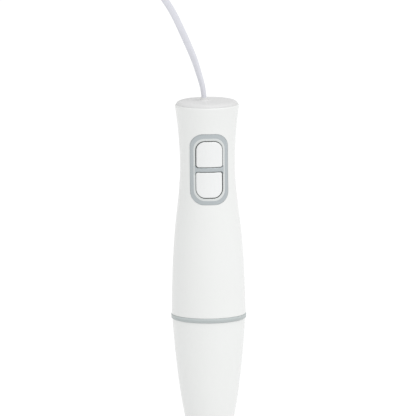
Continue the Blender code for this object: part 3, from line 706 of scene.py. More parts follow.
def repeat_tree():
    """Copies of a piece, each turned about Z, on from the one before."""
    given, add, close = tree_with(
        "Repeat", {
            "Piece": "Object", "Count": "Int", "Start": "Float", "Turn": "Float",
            "Material": "Material",
        }
    )
    index = add("GeometryNodeInputIndex").outputs[0]
    angle = add(
        "ShaderNodeMath", {"operation": "MULTIPLY_ADD"},
        {0: index, 1: given["Turn"], 2: given["Start"]},
    )
    rotation = add("ShaderNodeCombineXYZ", None, {"Z": angle.outputs[0]})
    line = add("GeometryNodeMeshLine", None, {"Count": given["Count"], "Offset": (0, 0, 0)})
    piece = add("GeometryNodeObjectInfo", {"transform_space": "ORIGINAL"}, {0: given["Piece"]})
    copies = add(
        "GeometryNodeInstanceOnPoints", None,
        {
            "Points": line.outputs[0], "Instance": piece.outputs["Geometry"],
            "Rotation": rotation.outputs[0],
        },
    )
    return close(copies.outputs[0])


def coil_tree():
    """A wire wound into a helix about Z."""
    given, add, close = tree_with(
        "Coil", {
            "Turns": "Float", "Radius": "Float", "Height": "Float", "Wire": "Float",
            "Material": "Material",
        }
    )
    helix = add(
        "GeometryNodeCurveSpiral", None,
        {
            "Resolution": 24, "Rotations": given["Turns"], "Start Radius": given["Radius"],
            "End Radius": given["Radius"], "Height": given["Height"],
        },
    )
    section = add(
        "GeometryNodeCurvePrimitiveCircle", None, {"Resolution": 10, "Radius": given["Wire"]}
    )
    tube = add(
        "GeometryNodeCurveToMesh", None,
        {"Curve": helix.outputs[0], "Profile Curve": section.outputs[0], "Fill Caps": True},
    )
    smooth = add("GeometryNodeSetShadeSmooth", None, {0: tube.outputs[0]})
    return close(smooth.outputs[0])


def grown(name, tree, values, slot=None):
    """A tree's result as a plain mesh object."""
    holder = linked(name, bpy.data.meshes.new(name))
    modifier = holder.modifiers.new(tree.name, "NODES")
    modifier.node_group = tree
    values = {**values, "Material": finish_for(slot) if slot else None}
    for item in tree.interface.items_tree:
        if item.in_out == "INPUT" and item.name in values:
            modifier[item.identifier] = values[item.name]
    settled(holder)
    if slot and not holder.data.materials:
        holder.data.materials.append(finish_for(slot))
    return holder


def copies(name, piece, count, slot=None, start=0.0, turn=None):
    """Copies of a piece about Z, evenly spread unless a turn is given. The piece itself is
    used up."""
    tree = bpy.data.node_groups.get("Repeat") or repeat_tree()
    made = grown(
        name, tree,
        {
            "Piece": piece, "Count": count, "Start": start,
            "Turn": tau / count if turn is None else turn,
        }, slot,
    )
    bpy.data.objects.remove(piece)
    return made


def block(name, low, high, slots=(), rounding=0.0):
    """A box between two corners in millimetres, with rounded edges."""
    low, high = Vector(low) * MM, Vector(high) * MM
    spread = Matrix.Diagonal((*(high - low), 1))
    mesh = bpy.data.meshes.new(name)
    with editing(mesh) as bm:
        bmesh.ops.create_cube(bm, size=1, matrix=Matrix.Translation((low + high) / 2) @ spread)
        if rounding:
            bmesh.ops.bevel(
                bm, geom=bm.edges[:], offset=rounding * MM, segments=2, profile=0.5,
                affect="EDGES",
            )
    return new_object(name, mesh, slots)


def prism(name, outline, near, far):
    """An (x, z) outline given depth along Y."""
    loops = [[(x, y, z) for x, z in outline] for y in (near, far)]
    return rings(name, loops)


# ---------------------------------------------------------------- the lead


def run_along(points):
    """How far along their line each of the points is."""
    return np.concatenate([[0], np.cumsum(np.linalg.norm(np.diff(points, axis=0), axis=1))])


def relaxed(values, times):
    """Values or points drawn towards their neighbours, with both ends held."""
    for _ in range(times):
        values[1:-1] = (values[:-2] + 2 * values[1:-1] + values[2:]) / 4
    return values


def smooth_path(route, spacing):
    """Evenly spread points on a smooth curve through the points of a route."""
    knots = np.array(route, float)
    knots = np.concatenate([[2 * knots[0] - knots[1]], knots, [2 * knots[-1] - knots[-2]]])
    fine = []
    for a, b, c, d in zip(knots, knots[1:], knots[2:], knots[3:]):
        for t in np.linspace(0, 1, 16, endpoint=False):
            fine.append(
                (2 * b + (c - a) * t + (2 * a - 5 * b + 4 * c - d) * t**2
                 + (3 * b - a - 3 * c + d) * t**3) / 2
            )
    fine = np.array([*fine, knots[-2]])
    run = run_along(fine)
    even = np.linspace(0, run[-1], round(run[-1] / spacing) + 1)
    return np.stack([np.interp(even, run, fine[:, k]) for k in range(3)], 1)


def walk(start, heading, bends, spacing):
    """(x, y) points along arcs of (radius, turn in radians), a turn to the left positive."""
    x, y = start
    made = [(x, y)]
    for radius, turn in bends:
        side = 1 if turn > 0 else -1
        count = max(2, round(radius * abs(turn) / spacing))
        step = turn / count
        for _ in range(count):
            x += side * radius * (sin(heading + step) - sin(heading))
            y -= side * radius * (cos(heading + step) - cos(heading))
            heading += step
            made.append((x, y))
    return made, heading


def hank_path(spacing):
    """The hank's centreline: turns shaped like a dog bone, pinched where the tie holds
    them, and then a rise to the plug's neck."""
    hank_low, hank_high = node_box("cord_hank")
    left, right = hank_low[0] + FOLD_ROOM, hank_high[0] - FOLD_ROOM
    quarter = (right - left) / 4
    lean = 2 * np.arctan((FOLD_R - WAIST_HALF) / 2 / quarter)
    radius = quarter / sin(lean)
    side = [(radius, -lean), (radius, lean), (radius, lean), (radius, -lean), (FOLD_R, -pi)]
    plane, heading = walk((left, FOLD_R), 0.0, side * 2 * HANK_TURNS, spacing)
    plug_low, plug_high = node_box("plug_body")
    neck_z = (plug_low[2] + plug_high[2]) / 2
    ahead = plug_low[0] + NECK_DEPTH - left
    turn = 2 * np.arctan(FOLD_R / ahead)
    reach = ahead / 2 / sin(turn)
    tail, _ = walk(plane[-1], heading, [(reach, -turn), (reach, turn)], spacing)
    plane = np.array(plane + tail[1:])
    run = run_along(plane)
    laps_end = run[-len(tail)]
    lap = laps_end / HANK_TURNS
    low, high = LAYERS_Z
    climb = lap - CLIMB_START
    stops = [0, climb, lap - 22, lap + climb, 2 * lap - 14, run[-1] - 6, run[-1]]
    levels = [low, low, high, high, high + CROSSING_RISE, neck_z, neck_z]
    z = relaxed(np.interp(run, stops, levels), 60)
    return np.column_stack([plane, z]), run[-1] - laps_end


def eased(value, low, high):
    t = np.clip((value - low) / (high - low), 0, 1)
    return t * t * (3 - 2 * t)


def make_lead():
    """The flat twin lead, from the sleeve in the cap to the plug, as one tube."""
    spacing = 2.0
    free = smooth_path(FREE_ROUTE, spacing)
    hank, tail = hank_path(spacing)
    link = smooth_path([free[-6], free[-1], hank[3], hank[9]], spacing)
    path = relaxed(np.concatenate([free[:-6], link[:-1], hank[9:]]), 4)
    run = run_along(path)
    ahead = np.gradient(path, axis=0)
    ahead /= np.linalg.norm(ahead, axis=1)[:, None]
    loose = run[len(free) - 1]

    def across(axis):
        side = np.array(axis, float) - ahead * (ahead @ np.array(axis, float))[:, None]
        return side / np.maximum(np.linalg.norm(side, axis=1), 1e-9)[:, None]

    def leant(side, angle):
        return side * np.cos(angle)[:, None] + np.cross(ahead, side) * np.sin(angle)[:, None]

    twists = [(-20, 75, 86), (130, 290, 94), (loose - 130, loose - 4, 90)]  # from, to, degrees
    twist = sum(eased(run, start, end) * radians(turn) for start, end, turn in twists)
    depth = across((0, 1, 0))
    wide = leant(depth, twist)
    upright = -across((0, 0, 1))
    lay_flat = eased(run, run[-1] - tail, run[-1] - 5) * radians(90)
    laid = leant(upright, lay_flat)
    in_hank = eased(run, loose - 14, loose)[:, None]
    wide = wide * (1 - in_hank) + laid * in_hank
    wide /= np.linalg.norm(wide, axis=1)[:, None]
    thin = np.cross(ahead, wide)

    sides, roundness = 24, 0.8
    turns = full_turn(sides)
    u, v = (
        np.sign(wave) * abs(wave) ** roundness * width / 2 / MM
        for wave, width in (
            (np.cos(turns), tuned().cord_width), (np.sin(turns), tuned().cord_thickness)
        )
    )
    loops = path[:, None] + wide[:, None] * u[None, :, None] + thin[:, None] * v[None, :, None]
    lead = rings("mains_lead", loops, ["lead"], angle=60)
    layer = lead.data.uv_layers.new(name="along_lead")
    lengthwise = np.repeat(run / 10, sides)
    around = np.tile(np.arange(sides) / sides, len(path))
    for loop in lead.data.loops:
        vertex = loop.vertex_index
        layer.data[loop.index].uv = (lengthwise[vertex], around[vertex])
    return lead, path * MM, run[-1] * MM


# ---------------------------------------------------------------- the stage


def towards(azimuth, elevation):
    """The direction at an angle to the right of the front, and at a height above the floor."""
    level = cos(elevation)
    return Vector((sin(azimuth) * level, -cos(azimuth) * level, sin(elevation)))


def make_stage():
    """A pale floor, an even sky that shows as white, and a soft key light."""
    settings = bpy.context.scene.handblender_stage
    scene = bpy.context.scene
    mesh = bpy.data.meshes.new("floor")
    with editing(mesh) as bm:
        bmesh.ops.create_circle(bm, cap_ends=True, segments=96, radius=FLOOR_R)
    floor = linked("floor", mesh)
    floor.location.z = -FLOOR_GAP
    paint = Finish("studio_floor", Specular_IOR_Level=0.0)
    mottle = paint.noise(1.5)
    paint.set("Base Color", paint.mixed(mottle, tinted(settings.floor, 0.995), settings.floor))
    paint.set("Roughness", mottle * 0.05 + 0.9)
    paint.set("Emission Color", (1, 1, 1))
    paint.set("Emission Strength", 0.055)
    mesh.materials.append(paint.material)

    world = bpy.data.worlds.new("Studio")
    scene.world = world
    world.use_nodes = True
    tree = world.node_tree
    sky = tree.nodes["Background"]
    feed(tree, sky.inputs["Color"], (1, 1, 1))
    feed(tree, sky.inputs["Strength"], settings.sky)
    seen = add_node(tree, "ShaderNodeBackground", None, {"Color": (1, 1, 1), "Strength": 1.0})
    rays = add_node(tree, "ShaderNodeLightPath")
    chosen = add_node(
        tree, "ShaderNodeMixShader", None,
        {0: rays.outputs["Is Camera Ray"], 1: sky.outputs[0], 2: seen.outputs[0]},
    )
    tree.links.new(chosen.outputs[0], tree.nodes["World Output"].inputs[0])

    key = bpy.data.lights.new("key", "SUN")
    key.energy = settings.key
    key.angle = KEY_SPREAD
    light = linked("key", key)
    ahead = towards(settings.key_side, settings.key_height)
    light.rotation_euler = ahead.to_track_quat("Z", "Y").to_euler()
    scene.view_settings.view_transform = "Standard"


def make_camera():
    """A long lens from a little above, and from a little to the left of the buttons."""
    back = towards(CAMERA_AZIMUTH, CAMERA_ELEVATION)
    data = bpy.data.cameras.new("camera")
    data.lens = LENS
    data.clip_end = 60
    camera = linked("camera", data)
    camera.rotation_mode = "QUATERNION"
    camera.location = Vector(CAMERA_AIM) + back * CAMERA_DISTANCE
    level = (-back).to_track_quat("-Z", "Y").to_matrix()
    facing = level @ Matrix.Rotation(-CAMERA_ROLL, 3, "Z")
    camera.rotation_quaternion = facing.to_quaternion()
    bpy.context.scene.camera = camera


# ---------------------------------------------------------------- handle


def half_shell(name, start, shift, slots):
    """Half of the handle's shell: its outside, lip and inside, with the parting edges
    rounded."""
    edge = tuned().parting / MM
    outside = side_line(handle_at, HANDLE_LOW + 0.5, HANDLE_HIGH - 0.7, 0, 110)
    top_r = handle_at(HANDLE_HIGH)[0]
    rise = [(0.03, 0), (-0.02, 0.6), (-0.3, 1.1), (-0.75, 1.4), (-1.05, 1.3), (-1.3, 0)]
    lip = [(top_r + out, HANDLE_HIGH + up) for out, up in rise]
    inside = side_line(handle_at, HANDLE_LOW, HANDLE_HIGH - 1.4, WALL, 40)[::-1]
    foot_r = handle_at(HANDLE_LOW)[0]
    base = [(foot_r - 0.3, HANDLE_LOW - 0.22), (foot_r - 0.04, HANDLE_LOW - 0.1)]
    outline = np.array(outside + lip + inside + base)
    ends = radians(90) - np.radians(np.linspace(0, 90, 7))
    near = [edge * (1 - sin(t)) / SHELL_MEAN_R for t in ends]
    between = np.linspace(near[-1], pi - near[-1], tuned().steps // 2)[1:-1]
    turns = np.concatenate([near, between, [pi - t for t in near[::-1]]])
    loops = []
    for turn in turns:
        away = min(turn, pi - turn) * SHELL_MEAN_R
        inset = edge - np.sqrt(max(0, edge**2 - max(0, edge - away) ** 2))
        r = outline[:, 0].copy()
        r[:len(outside)] -= inset
        angle = start + turn
        loops.append(np.stack([r * cos(angle), r * sin(angle) + shift, outline[:, 1]], 1))
    return rings(name, loops, slots)


def bezel_outline(grow=0.0):
    return round_rect(
        BEZEL_HALF_W, BEZEL_LOW, BEZEL_HIGH, BEZEL_CORNER, BEZEL_CORNER, -grow, 12, 16
    )


def vent_cutter():
    """Two rows of upright air slots in the back."""
    vents, half = tuned().vents, VENT_WIDTH / 2
    rows = []
    for row, (low, high, near) in enumerate(VENT_ROWS):
        outline = round_rect(half, low, high, half, half, 0, 8, 2)
        slot = rings(f"slot_{row}", [[(y, x, z) for x, z in outline] for y in (near, 37)])
        start = radians(90) - VENT_PITCH * (vents - 1) / 2
        rows.append(copies(f"vent_row_{row}", slot, vents, None, start, VENT_PITCH))
    return merged(*rows)


def make_handle():
    """The shells, the cap with the lead's sleeve, and the joint ring."""
    gap = 0.15
    front = half_shell("handle_front", pi, -gap, ["white_shell"])
    combine(front, prism("bezel_hole", bezel_outline(0.12), -40, -8))
    rear = half_shell("handle_rear", 0.0, gap, ["white_shell"])
    combine(rear, vent_cutter())
    for shell, node in ((front, "front_shell"), (rear, "rear_shell")):
        shine_as_turned(shell, handle_at, HANDLE_LOW + 0.5, HANDLE_HIGH - 0.7)
        place(shell, "motor_unit", [node])

    cap = lathe(
        "cap",
        [
            (0, 372.75), (14, 372.7), (21, 372.6), (23, 372.35), (24.3, 371.9), (25.3, 371.2),
            (26, 370.3), (26.25, 369.6), (26.2, 369.4), (23.8, 369.4), (23.8, 363), (22, 363),
            (22, 369.6), (0, 369.8),
        ],
        ["cap_grey"], closed=False,
    )
    combine(cap, drill("guard_hole", 3.75, 366, 380, at=GUARD_AT))
    place(cap, "motor_unit", ["top_cap"])
    turned(
        "lead_sleeve", "motor_unit", "cord_guard", "cap_grey",
        [
            (1.6, 375.9, 0.3), (2.85, 376, 0.9), (3.3, 373.6, 0.6), (5.2, 372.8, 0.3),
            (5.2, 372.6, 0), (3.5, 372.5, 0), (3.5, 369.2, 0), (6.4, 369, 0.3),
            (6.4, 366.6, 0.3), (3.9, 366.4, 0.2), (3.4, 352, 0.4), (1.6, 352, 0.3),
        ], 64, at=GUARD_AT,
    )
    turned(
        "joint_ring", "motor_unit", "trim_ring", "trim_grey",
        [
            (31.55, RING_HIGH, 0.12), (32.0, RING_HIGH - 0.5, 0.3), (32.0, RING_LOW + 1.95, 0.06),
            (31.86, RING_LOW + 1.8, 0.06), (31.86, RING_LOW + 0.3, 0.2), (31.5, RING_LOW, 0.1),
            (29.3, RING_LOW, 0), (29.3, RING_HIGH, 0),
        ], finish="trim_ring",
    )


def on_handle(x, z, proud):
    """The point of the handle's front at x and z, standing proud of its surface."""
    reach = handle_at(z)[0] + proud
    return np.stack([x, -np.sqrt(reach**2 - x**2), z], -1)


def make_bezel():
    """The frame around the buttons, and the bar between them."""
    proud = tuned().bezel_proud / MM
    outer = bezel_outline()
    low, high = BUTTON_SPANS["lower"][0], BUTTON_SPANS["upper"][1]
    inner = round_rect(
        BUTTON_HALF_W, low, high, BUTTON_CORNER, BUTTON_CORNER, -WINDOW_GAP - 0.1, 12, 16
    )
    profile = [  # share of the way from the outer edge to the window, and height
        (0, -2.4), (0, proud - 0.35), (0.025, proud - 0.1), (0.07, proud), (0.3, proud + 0.03),
        (0.48, proud + 0.03), (0.57, proud), (0.6, proud - 0.06), (0.64, proud - 0.06),
        (0.8, proud - 0.1), (0.93, proud - 0.2), (1, proud - 0.5), (1, -2.4), (0.5, -2.4),
    ]
    loops = []
    for share, height in profile:
        flat = outer * (1 - share) + inner * share
        loops.append(on_handle(flat[:, 0], flat[:, 1], height))
    tones = [1 if 8 <= i <= 11 else 0 for i in range(len(profile))]
    frame_piece = rings(
        "button_frame", loops, ["trim_grey", "trim_strip"], wrap=True, loop_slots=tones
    )
    bottom, top = BUTTON_SPANS["lower"][1] + WINDOW_GAP, BUTTON_SPANS["upper"][0] - WINDOW_GAP
    middle, half = (bottom + top) / 2, (top - bottom) / 2
    reach, corner = BUTTON_HALF_W + 1.1, BUTTON_INNER_CORNER
    section = [
        (-1, -2.4), (-0.99, -0.7), (-0.86, 0.35), (-0.66, 0.62), (0.66, 0.62), (0.86, 0.35),
        (0.99, -0.7), (1, -2.4),
    ]
    loops = []
    for x in np.linspace(-reach, reach, 81):
        past = max(0.0, abs(x) - (BUTTON_HALF_W + WINDOW_GAP - corner))
        flare = corner - np.sqrt(max(0.0, corner**2 - min(past, corner) ** 2))
        loop = []
        for side, height in section:
            z = middle + np.sign(side) * (abs(side) * half + flare)
            loop.append(on_handle(np.array(x), np.array(z), height))
        loops.append(loop)
    bar = rings("bezel_bar", loops, ["trim_strip"])
    place(merged(frame_piece, bar), "motor_unit", ["button_bezel"])


def make_button(which):
    """A crowned push button with a rounded edge, a hollow back and a return spring."""
    proud, edge = tuned().button_proud / MM, tuned().edge / MM
    shift = BUTTON_SHIFTS[which]
    low, high = BUTTON_SPANS[which]
    bottom_r, top_r = BUTTON_CORNER, BUTTON_INNER_CORNER
    if which == "upper":
        bottom_r, top_r = top_r, bottom_r
    middle = np.array((0, (low + high) / 2))

    def outline(inset):
        return round_rect(BUTTON_HALF_W, low, high, bottom_r, top_r, inset, 12, 14)

    def loop(flat, height):
        return on_handle(flat[:, 0] + shift[0], flat[:, 1] + shift[1], height)

    slack = 0.12
    loops = [loop(outline(slack + 1.4), -2.6), loop(outline(slack), -2.6)]
    for t in np.linspace(0, pi / 2, 9):
        loops.append(loop(outline(slack + edge * (1 - cos(t))), proud - edge * (1 - sin(t))))
    rim = outline(slack + edge)
    for share in np.linspace(0, 1, 15)[1:]:
        loops.append(loop(rim * (1 - share) + middle * share, proud + 0.12 * sin(share * pi / 2)))
    under = outline(slack + 1.4)
    for share in np.linspace(1, 0, 9):
        loops.append(loop(under * (1 - share) + middle * share, proud - 2.2))
    button = rings(f"{which}_push_button", loops, ["button_white"], wrap=True)
    spring = grown(
        f"{which}_return_spring", bpy.data.node_groups.get("Coil") or coil_tree(),
        {
            "Turns": 4.5, "Radius": SPRING_R * MM, "Height": SPRING_LENGTH * MM,
            "Wire": SPRING_WIRE * MM,
        }, "steel",
    )
    moved(spring, (0, SPRING_SEAT_Y, middle[1] + SPRING_ABOVE), pi / 2, "X")
    place(button, f"{which}_button_set", [f"{which}_button"])
    place(spring, "motor_unit", [f"{which}_button_spring"])
    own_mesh(spring)


# ---------------------------------------------------------------- foot


def make_foot():
    """The one-piece foot: a socket above, a bell guard with four windows below."""
    outside = side_line(foot_at, 1.0, FOOT_TOP - 0.6, 0, 130)
    top_r, rim_r = foot_at(FOOT_TOP)[0], foot_at(0)[0]
    mouth = [
        (top_r, FOOT_TOP + 0.1), (top_r - 0.2, FOOT_TOP + 0.24), (SOCKET_R + 0.7, FOOT_TOP + 0.24),
        (SOCKET_R + 0.1, FOOT_TOP - 0.5), (SOCKET_R, FOOT_TOP - 2),
    ]
    groove = softened(
        [
            (SOCKET_R, RETAINER_Z + 2, 0.3), (SOCKET_R + 0.8, RETAINER_Z + 1.3, 0.4),
            (SOCKET_R + 0.8, RETAINER_Z - 1.3, 0.4), (SOCKET_R, RETAINER_Z - 2, 0.3),
        ], closed=False,
    )
    socket = [
        (SOCKET_R, 168), (26.6, 166.5), (26.6, 154.7), (24.2, 154.7), (24.2, 152),
        *side_line(foot_at, 52, 149, WALL, 24)[::-1], (14.5, 48.8), (7.4, 48.6), (7.4, 72),
        (3.2, 72), (3.2, 58), (5.3, 58), (5.3, 38.2), (7.4, 38.2),
    ]
    bell = curve_through(
        [
            (0.8, 29.6), (8, 29.75), (14, 29.4), (20, 28.5), (27, 26.6), (33, 24), (38, 20.8),
            (41.5, 17),
        ]
    )
    chamber = [
        (7.6, 38.5), (7.7, 43.4), (8.6, 44), (14, 43.4), *side_line(bell, 1.0, 41.5, 0, 40)[::-1]
    ]
    rim = [(29.8, 0.2), (30.2, 0), (rim_r - 0.7, 0), (rim_r - 0.2, 0.25)]
    outline = outside + mouth + groove + socket + chamber + rim
    foot = lathe("foot", outline, ["white_shell"], angle=38)
    arch = round_rect(6.5, -14, 11, 0.5, 6.4, 0, 14, 6)
    window = rings("window", [[(y, x, z) for x, z in arch] for y in (24, 38)])
    combine(foot, copies("windows", window, 4))
    shine_as_turned(foot, foot_at, 1.0, FOOT_TOP - 0.6)
    place(foot, "foot", ["foot_housing"])


# ---------------------------------------------------------------- blade and couplings


def make_blade():
    """Two swept wings from one stamping, thinned to a cutting edge along both sides."""
    across, around = 121, 24
    loops = []
    for u in np.sin(np.linspace(-pi / 2, pi / 2, across)):
        lift = max(0, abs(u) - 0.3) / 0.7
        bow = 5 * lift**1.4 if u > 0 else -3.6 * lift**1.4
        pitch = 1.6 * lift * (1 if u > 0 else -1)
        tip = max(0, abs(u) - 0.9) / 0.1
        width = (6.2 - 2.6 * u**2) * (1 - 0.55 * (1 - np.sqrt(1 - 0.98 * tip**2)))
        loop = []
        for turn in np.linspace(0, tau, around, endpoint=False):
            v = cos(turn)
            thickness = 0.7 * min(1, (1 - abs(v)) / 0.38 + 0.08)
            side = 1 if sin(turn) >= 0 else -1
            loop.append((BLADE_REACH * u, width * v, BLADE_Z + bow + pitch * v + side * thickness))
        loops.append(loop)
    blade = rings("cutting_blade", loops, ["blade_steel"])
    combine(blade, drill("bore", 2.55, 0, 30))
    place(blade, "blade_unit", ["blade"])
    turned(
        "blade_spindle", "blade_unit", "blade_shaft", "steel",
        [
            (0, 166.5, 0), (2.5, 166.5, 0.4), (2.5, 20.5, 0.1), (4.2, 20.5, 0.4),
            (4.2, 16.2, 0.2), (2.5, 16.2, 0.1), (2.5, 9.4, 0.5), (0, 9.4, 0),
        ], 64, closed=False,
    )
    nut = lathe("nut_blank", [(4.9, 13.6), (4.9, 10.4), (2.6, 10.4), (2.6, 13.6)], ["steel"], 6)
    crown = lathe(
        "nut_crown", [(0, 15), (3.6, 15), (5.1, 13.0), (5.1, 10.9), (4.1, 10.3), (0, 10.3)],
        (), 64, closed=False,
    )
    place(combine(nut, crown, "INTERSECT"), "blade_unit", ["blade_nut"])


def claw_ring(name, low, high, start, body_outline):
    """A coupling half: a turned body, and its ring of claws with rounded tips."""
    half = radians(CLAW_ANGLE - 3) / 2
    outline = []
    for radius, turns in (
        (CLAW_OUTER_R, np.linspace(-half, half, 9)), (CLAW_INNER_R, np.linspace(half, -half, 7))
    ):
        outline += [(radius * cos(t), radius * sin(t)) for t in turns]
    flat = np.array(outline)
    middle = flat.mean(0)
    loops = []
    for z, share in ((low, 0.9), (low + 0.35, 0.97), (low + 0.9, 1), (high, 1)):
        shrunk = middle + (flat - middle) * share
        loops.append(np.column_stack([shrunk, np.full(len(shrunk), z)]))
    claw = rings(f"{name}_claw", loops, ["black_plastic"])
    claws = copies(f"{name}_claws", claw, CLAWS, "black_plastic", start)
    body = lathe(name, softened(body_outline), ["black_plastic"], 96)
    return merged(body, claws)


def make_couplings():
    """The claw coupling's two halves."""
    drive = claw_ring(
        "drive_half", 171.5, 178.2, 0.0,
        [
            (5, 187, 0.4), (5, 182, 0.6), (9.2, 181, 0.6), (9.2, 178, 0.2), (4.3, 178, 0.2),
            (4.3, 176, 0.1), (2.8, 176, 0.1), (2.8, 187, 0.2),
        ],
    )
    place(drive, "rotor", ["drive_coupling"])
    driven = claw_ring(
        "driven_half", 177.4, 170.8, radians(45),
        [
            (9.2, 171, 0.2), (9.2, 164, 0.8), (5, 160.1, 0.5), (2.8, 160.1, 0.2), (2.8, 167, 0),
            (4.3, 167, 0.2), (4.3, 171, 0.2),
        ],
    )
    place(driven, "blade_unit", ["driven_coupling"])


def make_cover():
    """The coupling cover, with its spigot, the rubber ring in its groove and its screws."""
    cover = lathe(
        "spigot_cover",
        softened(
            [
                (29, 190, 0), (29, 186.3, 0), (SPIGOT_R, 186.3, 0.2),
                (SPIGOT_R, RETAINER_Z + 1.3, 0.2), (SPIGOT_R - 0.9, RETAINER_Z + 1, 0.2),
                (SPIGOT_R - 0.9, RETAINER_Z - 1, 0.2), (SPIGOT_R, RETAINER_Z - 1.3, 0.2),
                (SPIGOT_R, 168.4, 0.6), (25.8, 168.4, 0.5), (25.8, 186.3, 0.8), (13.2, 186.3, 0.5),
                (13.2, 181, 0.4), (11.5, 181, 0.4), (11.5, 190, 0),
            ]
        ),
        ["inner_plastic"],
    )
    hole = drill("screw_hole", 1.9, 184, 195, 24, (SCREW_CIRCLE, 0))
    combine(cover, copies("screw_holes", hole, 3, None, radians(30)))
    place(cover, "motor_unit", ["coupling_cover"])
    section = [
        (SPIGOT_R + 0.05 + 0.75 * cos(t), RETAINER_Z + 0.75 * sin(t)) for t in full_turn(20)
    ]
    place(lathe("grip_band", section, ["rubber"], angle=60), "motor_unit", ["grip_ring"])
    screw = make_screw(SCREW_CIRCLE, 199, 186, 2.8, 1.35)
    screws = copies("cover_screws", screw, 3, "steel", radians(30))
    nodes = [f"base_screw_{which}" for which in ("front", "left", "right")]
    place(screws, "motor_unit", nodes)


def make_screw(reach, top, seat, head_r, shank_r):
    """A pan-head cross screw that points up, with its head below its seat."""
    pitch = SCREW_PITCH
    thread = [(0, top), (shank_r * 0.45, top - 0.3), (shank_r * 0.75, top - 1.4)]
    for i in range(int((top - seat - 2) / pitch)):
        z = top - 1.6 - i * pitch
        thread += [(shank_r * 0.78, z), (shank_r * 1.12, z - pitch * 0.5)]
    head = [
        (shank_r * 0.78, seat), (head_r, seat), (head_r, seat - 0.7), (head_r * 0.86, seat - 1.4),
        (head_r * 0.55, seat - 1.9), (0, seat - 2),
    ]
    screw = lathe("screw", thread + head, ["steel"], 28, (reach, 0), False)
    for turn in (0, pi / 2):
        arm = block("arm", (-1.5, -0.32, seat - 3), (1.5, 0.32, seat - 1.0))
        combine(screw, moved(arm, (reach, 0, 0), turn, "Z"))
    return screw


def make_bushes(body, spans):
    """Bearing bushings of one size, by piece, node, lower end and upper end."""
    for piece, node, low, high in spans:
        turned(
            piece, body, node, "bronze",
            [
                (BUSH_R, high, 0.3), (BUSH_R, low, 0.3), (BUSH_BORE_R, low, 0.3),
                (BUSH_BORE_R, high, 0.3),
            ], 64,
        )


def make_foot_inside():
    """What shows in the foot's socket when the handle is off it."""
    carrier = lathe(
        "bearing_carrier",
        softened(
            [
                (26.3, 158.5, 0.5), (26.3, 155, 0.3), (8, 155, 0.8), (8, 143, 0.5), (3.2, 143, 0.1),
                (3.2, 146, 0.1), (5.3, 146, 0), (5.3, 158.5, 0.3),
            ]
        ),
        ["inner_plastic"],
    )
    rib = block("rib", (8.4, -0.7, 158.3), (25.6, 0.7, 159.6), ["inner_plastic"], 0.2)
    merged(carrier, copies("carrier_ribs", rib, 8, "inner_plastic"))
    place(carrier, "foot", ["shaft_carrier"])
    make_bushes("foot", [
        ("upper_foot_bush", "upper_foot_bushing", 146.3, 158.2),
        ("lower_foot_bush", "lower_foot_bushing", 45.3, 57.7),
    ])
    turned(
        "lip_seal", "foot", "shaft_seal", "rubber",
        [
            (5, 45, 0.2), (5, 38.6, 0.3), (4.2, 38.2, 0.2), (3.6, 40, 0.3), (2.7, 38.2, 0.1),
            (2.6, 39.4, 0.1), (3.2, 42, 0.2), (3.2, 45, 0.1),
        ], 64,
    )
    clip = lathe(
        "retaining_clip",
        softened([(4.8, 159.8, 0.2), (4.8, 158.8, 0.2), (2.6, 158.8, 0.2), (2.6, 159.8, 0.2)]),
        ["steel"], 64,
    )
    mouth = block("clip_mouth", (0, -1.4, 158), (6, 1.4, 161), (), 0.3)
    place(combine(clip, mouth), "blade_unit", ["shaft_clip"])


# ---------------------------------------------------------------- plug and tie


def make_plug():
    """A flat two-pin plug with a hexagonal front, a ribbed neck and sleeved pins."""
    low, high = node_box("plug_body")
    middle, half_z = (low[2] + high[2]) / 2, (high[2] - low[2]) / 2
    face = high[0]
    corners = [
        (17.6, 0, 1.4), (13, 1, 1.6), (-13, 1, 1.6), (-17.6, 0, 1.4), (-13, -1, 1.6), (13, -1, 1.6)
    ]
    outline = np.array(softened(corners, 6))
    stations = [  # distance behind the face, width share, height share
        (0, 0.93, 0.88), (0.5, 0.975, 0.96), (1.4, 1, 1), (14, 1, 1), (20, 0.92, 1),
        (26, 0.72, 0.96), (30, 0.52, 0.85), (33.5, 0.34, 0.66), (35.5, 0.24, 0.52),
    ]
    run = np.array([s[0] for s in stations], float)
    loops = []
    for x in np.unique(np.concatenate([run, np.linspace(1.4, 35.5, 44)])):
        wide, tall = (np.interp(x, run, [s[k] for s in stations]) for k in (1, 2))
        loops.append([(face - x, y * wide, middle + z * half_z * tall) for y, z in outline])
    body = rings("plug_shell", loops, ["cord_pvc"], angle=28)
    neck = []
    for share in np.arange(49) / 48:
        rib = 0.35 * max(0, sin(share * 6 * tau)) if share < 0.96 else 0
        ry, rz = 4.0 - 0.5 * share + rib, 3.5 - 0.9 * share + rib
        x = face - 35 - 12.0 * share
        neck.append([(x, ry * cos(t), middle + rz * sin(t)) for t in full_turn(32)])
    sleeve = rings("plug_neck", neck, ["cord_pvc"], angle=40)
    merged(body, sleeve)
    place(body, "foot", ["plug_body"])
    pieces = [body]
    pin_side = [(0, 19, 0), (2, 19, 0.9), (2, 9.8, 0), (1.9, 9.7, 0), (1.9, 0.2, 0), (0, 0.2, 0)]
    for side in ("left", "right"):
        y = sum(corner[1] for corner in node_box(f"plug_pin_{side}")) / 2
        outline = softened(pin_side, closed=False)
        pin = lathe(f"{side}_pin", outline, ["plated_brass"], 48, closed=False)
        moved(pin, (face, y, middle), pi / 2, "Y")
        pieces.append(place(pin, "foot", [f"plug_pin_{side}"]))
    return pieces


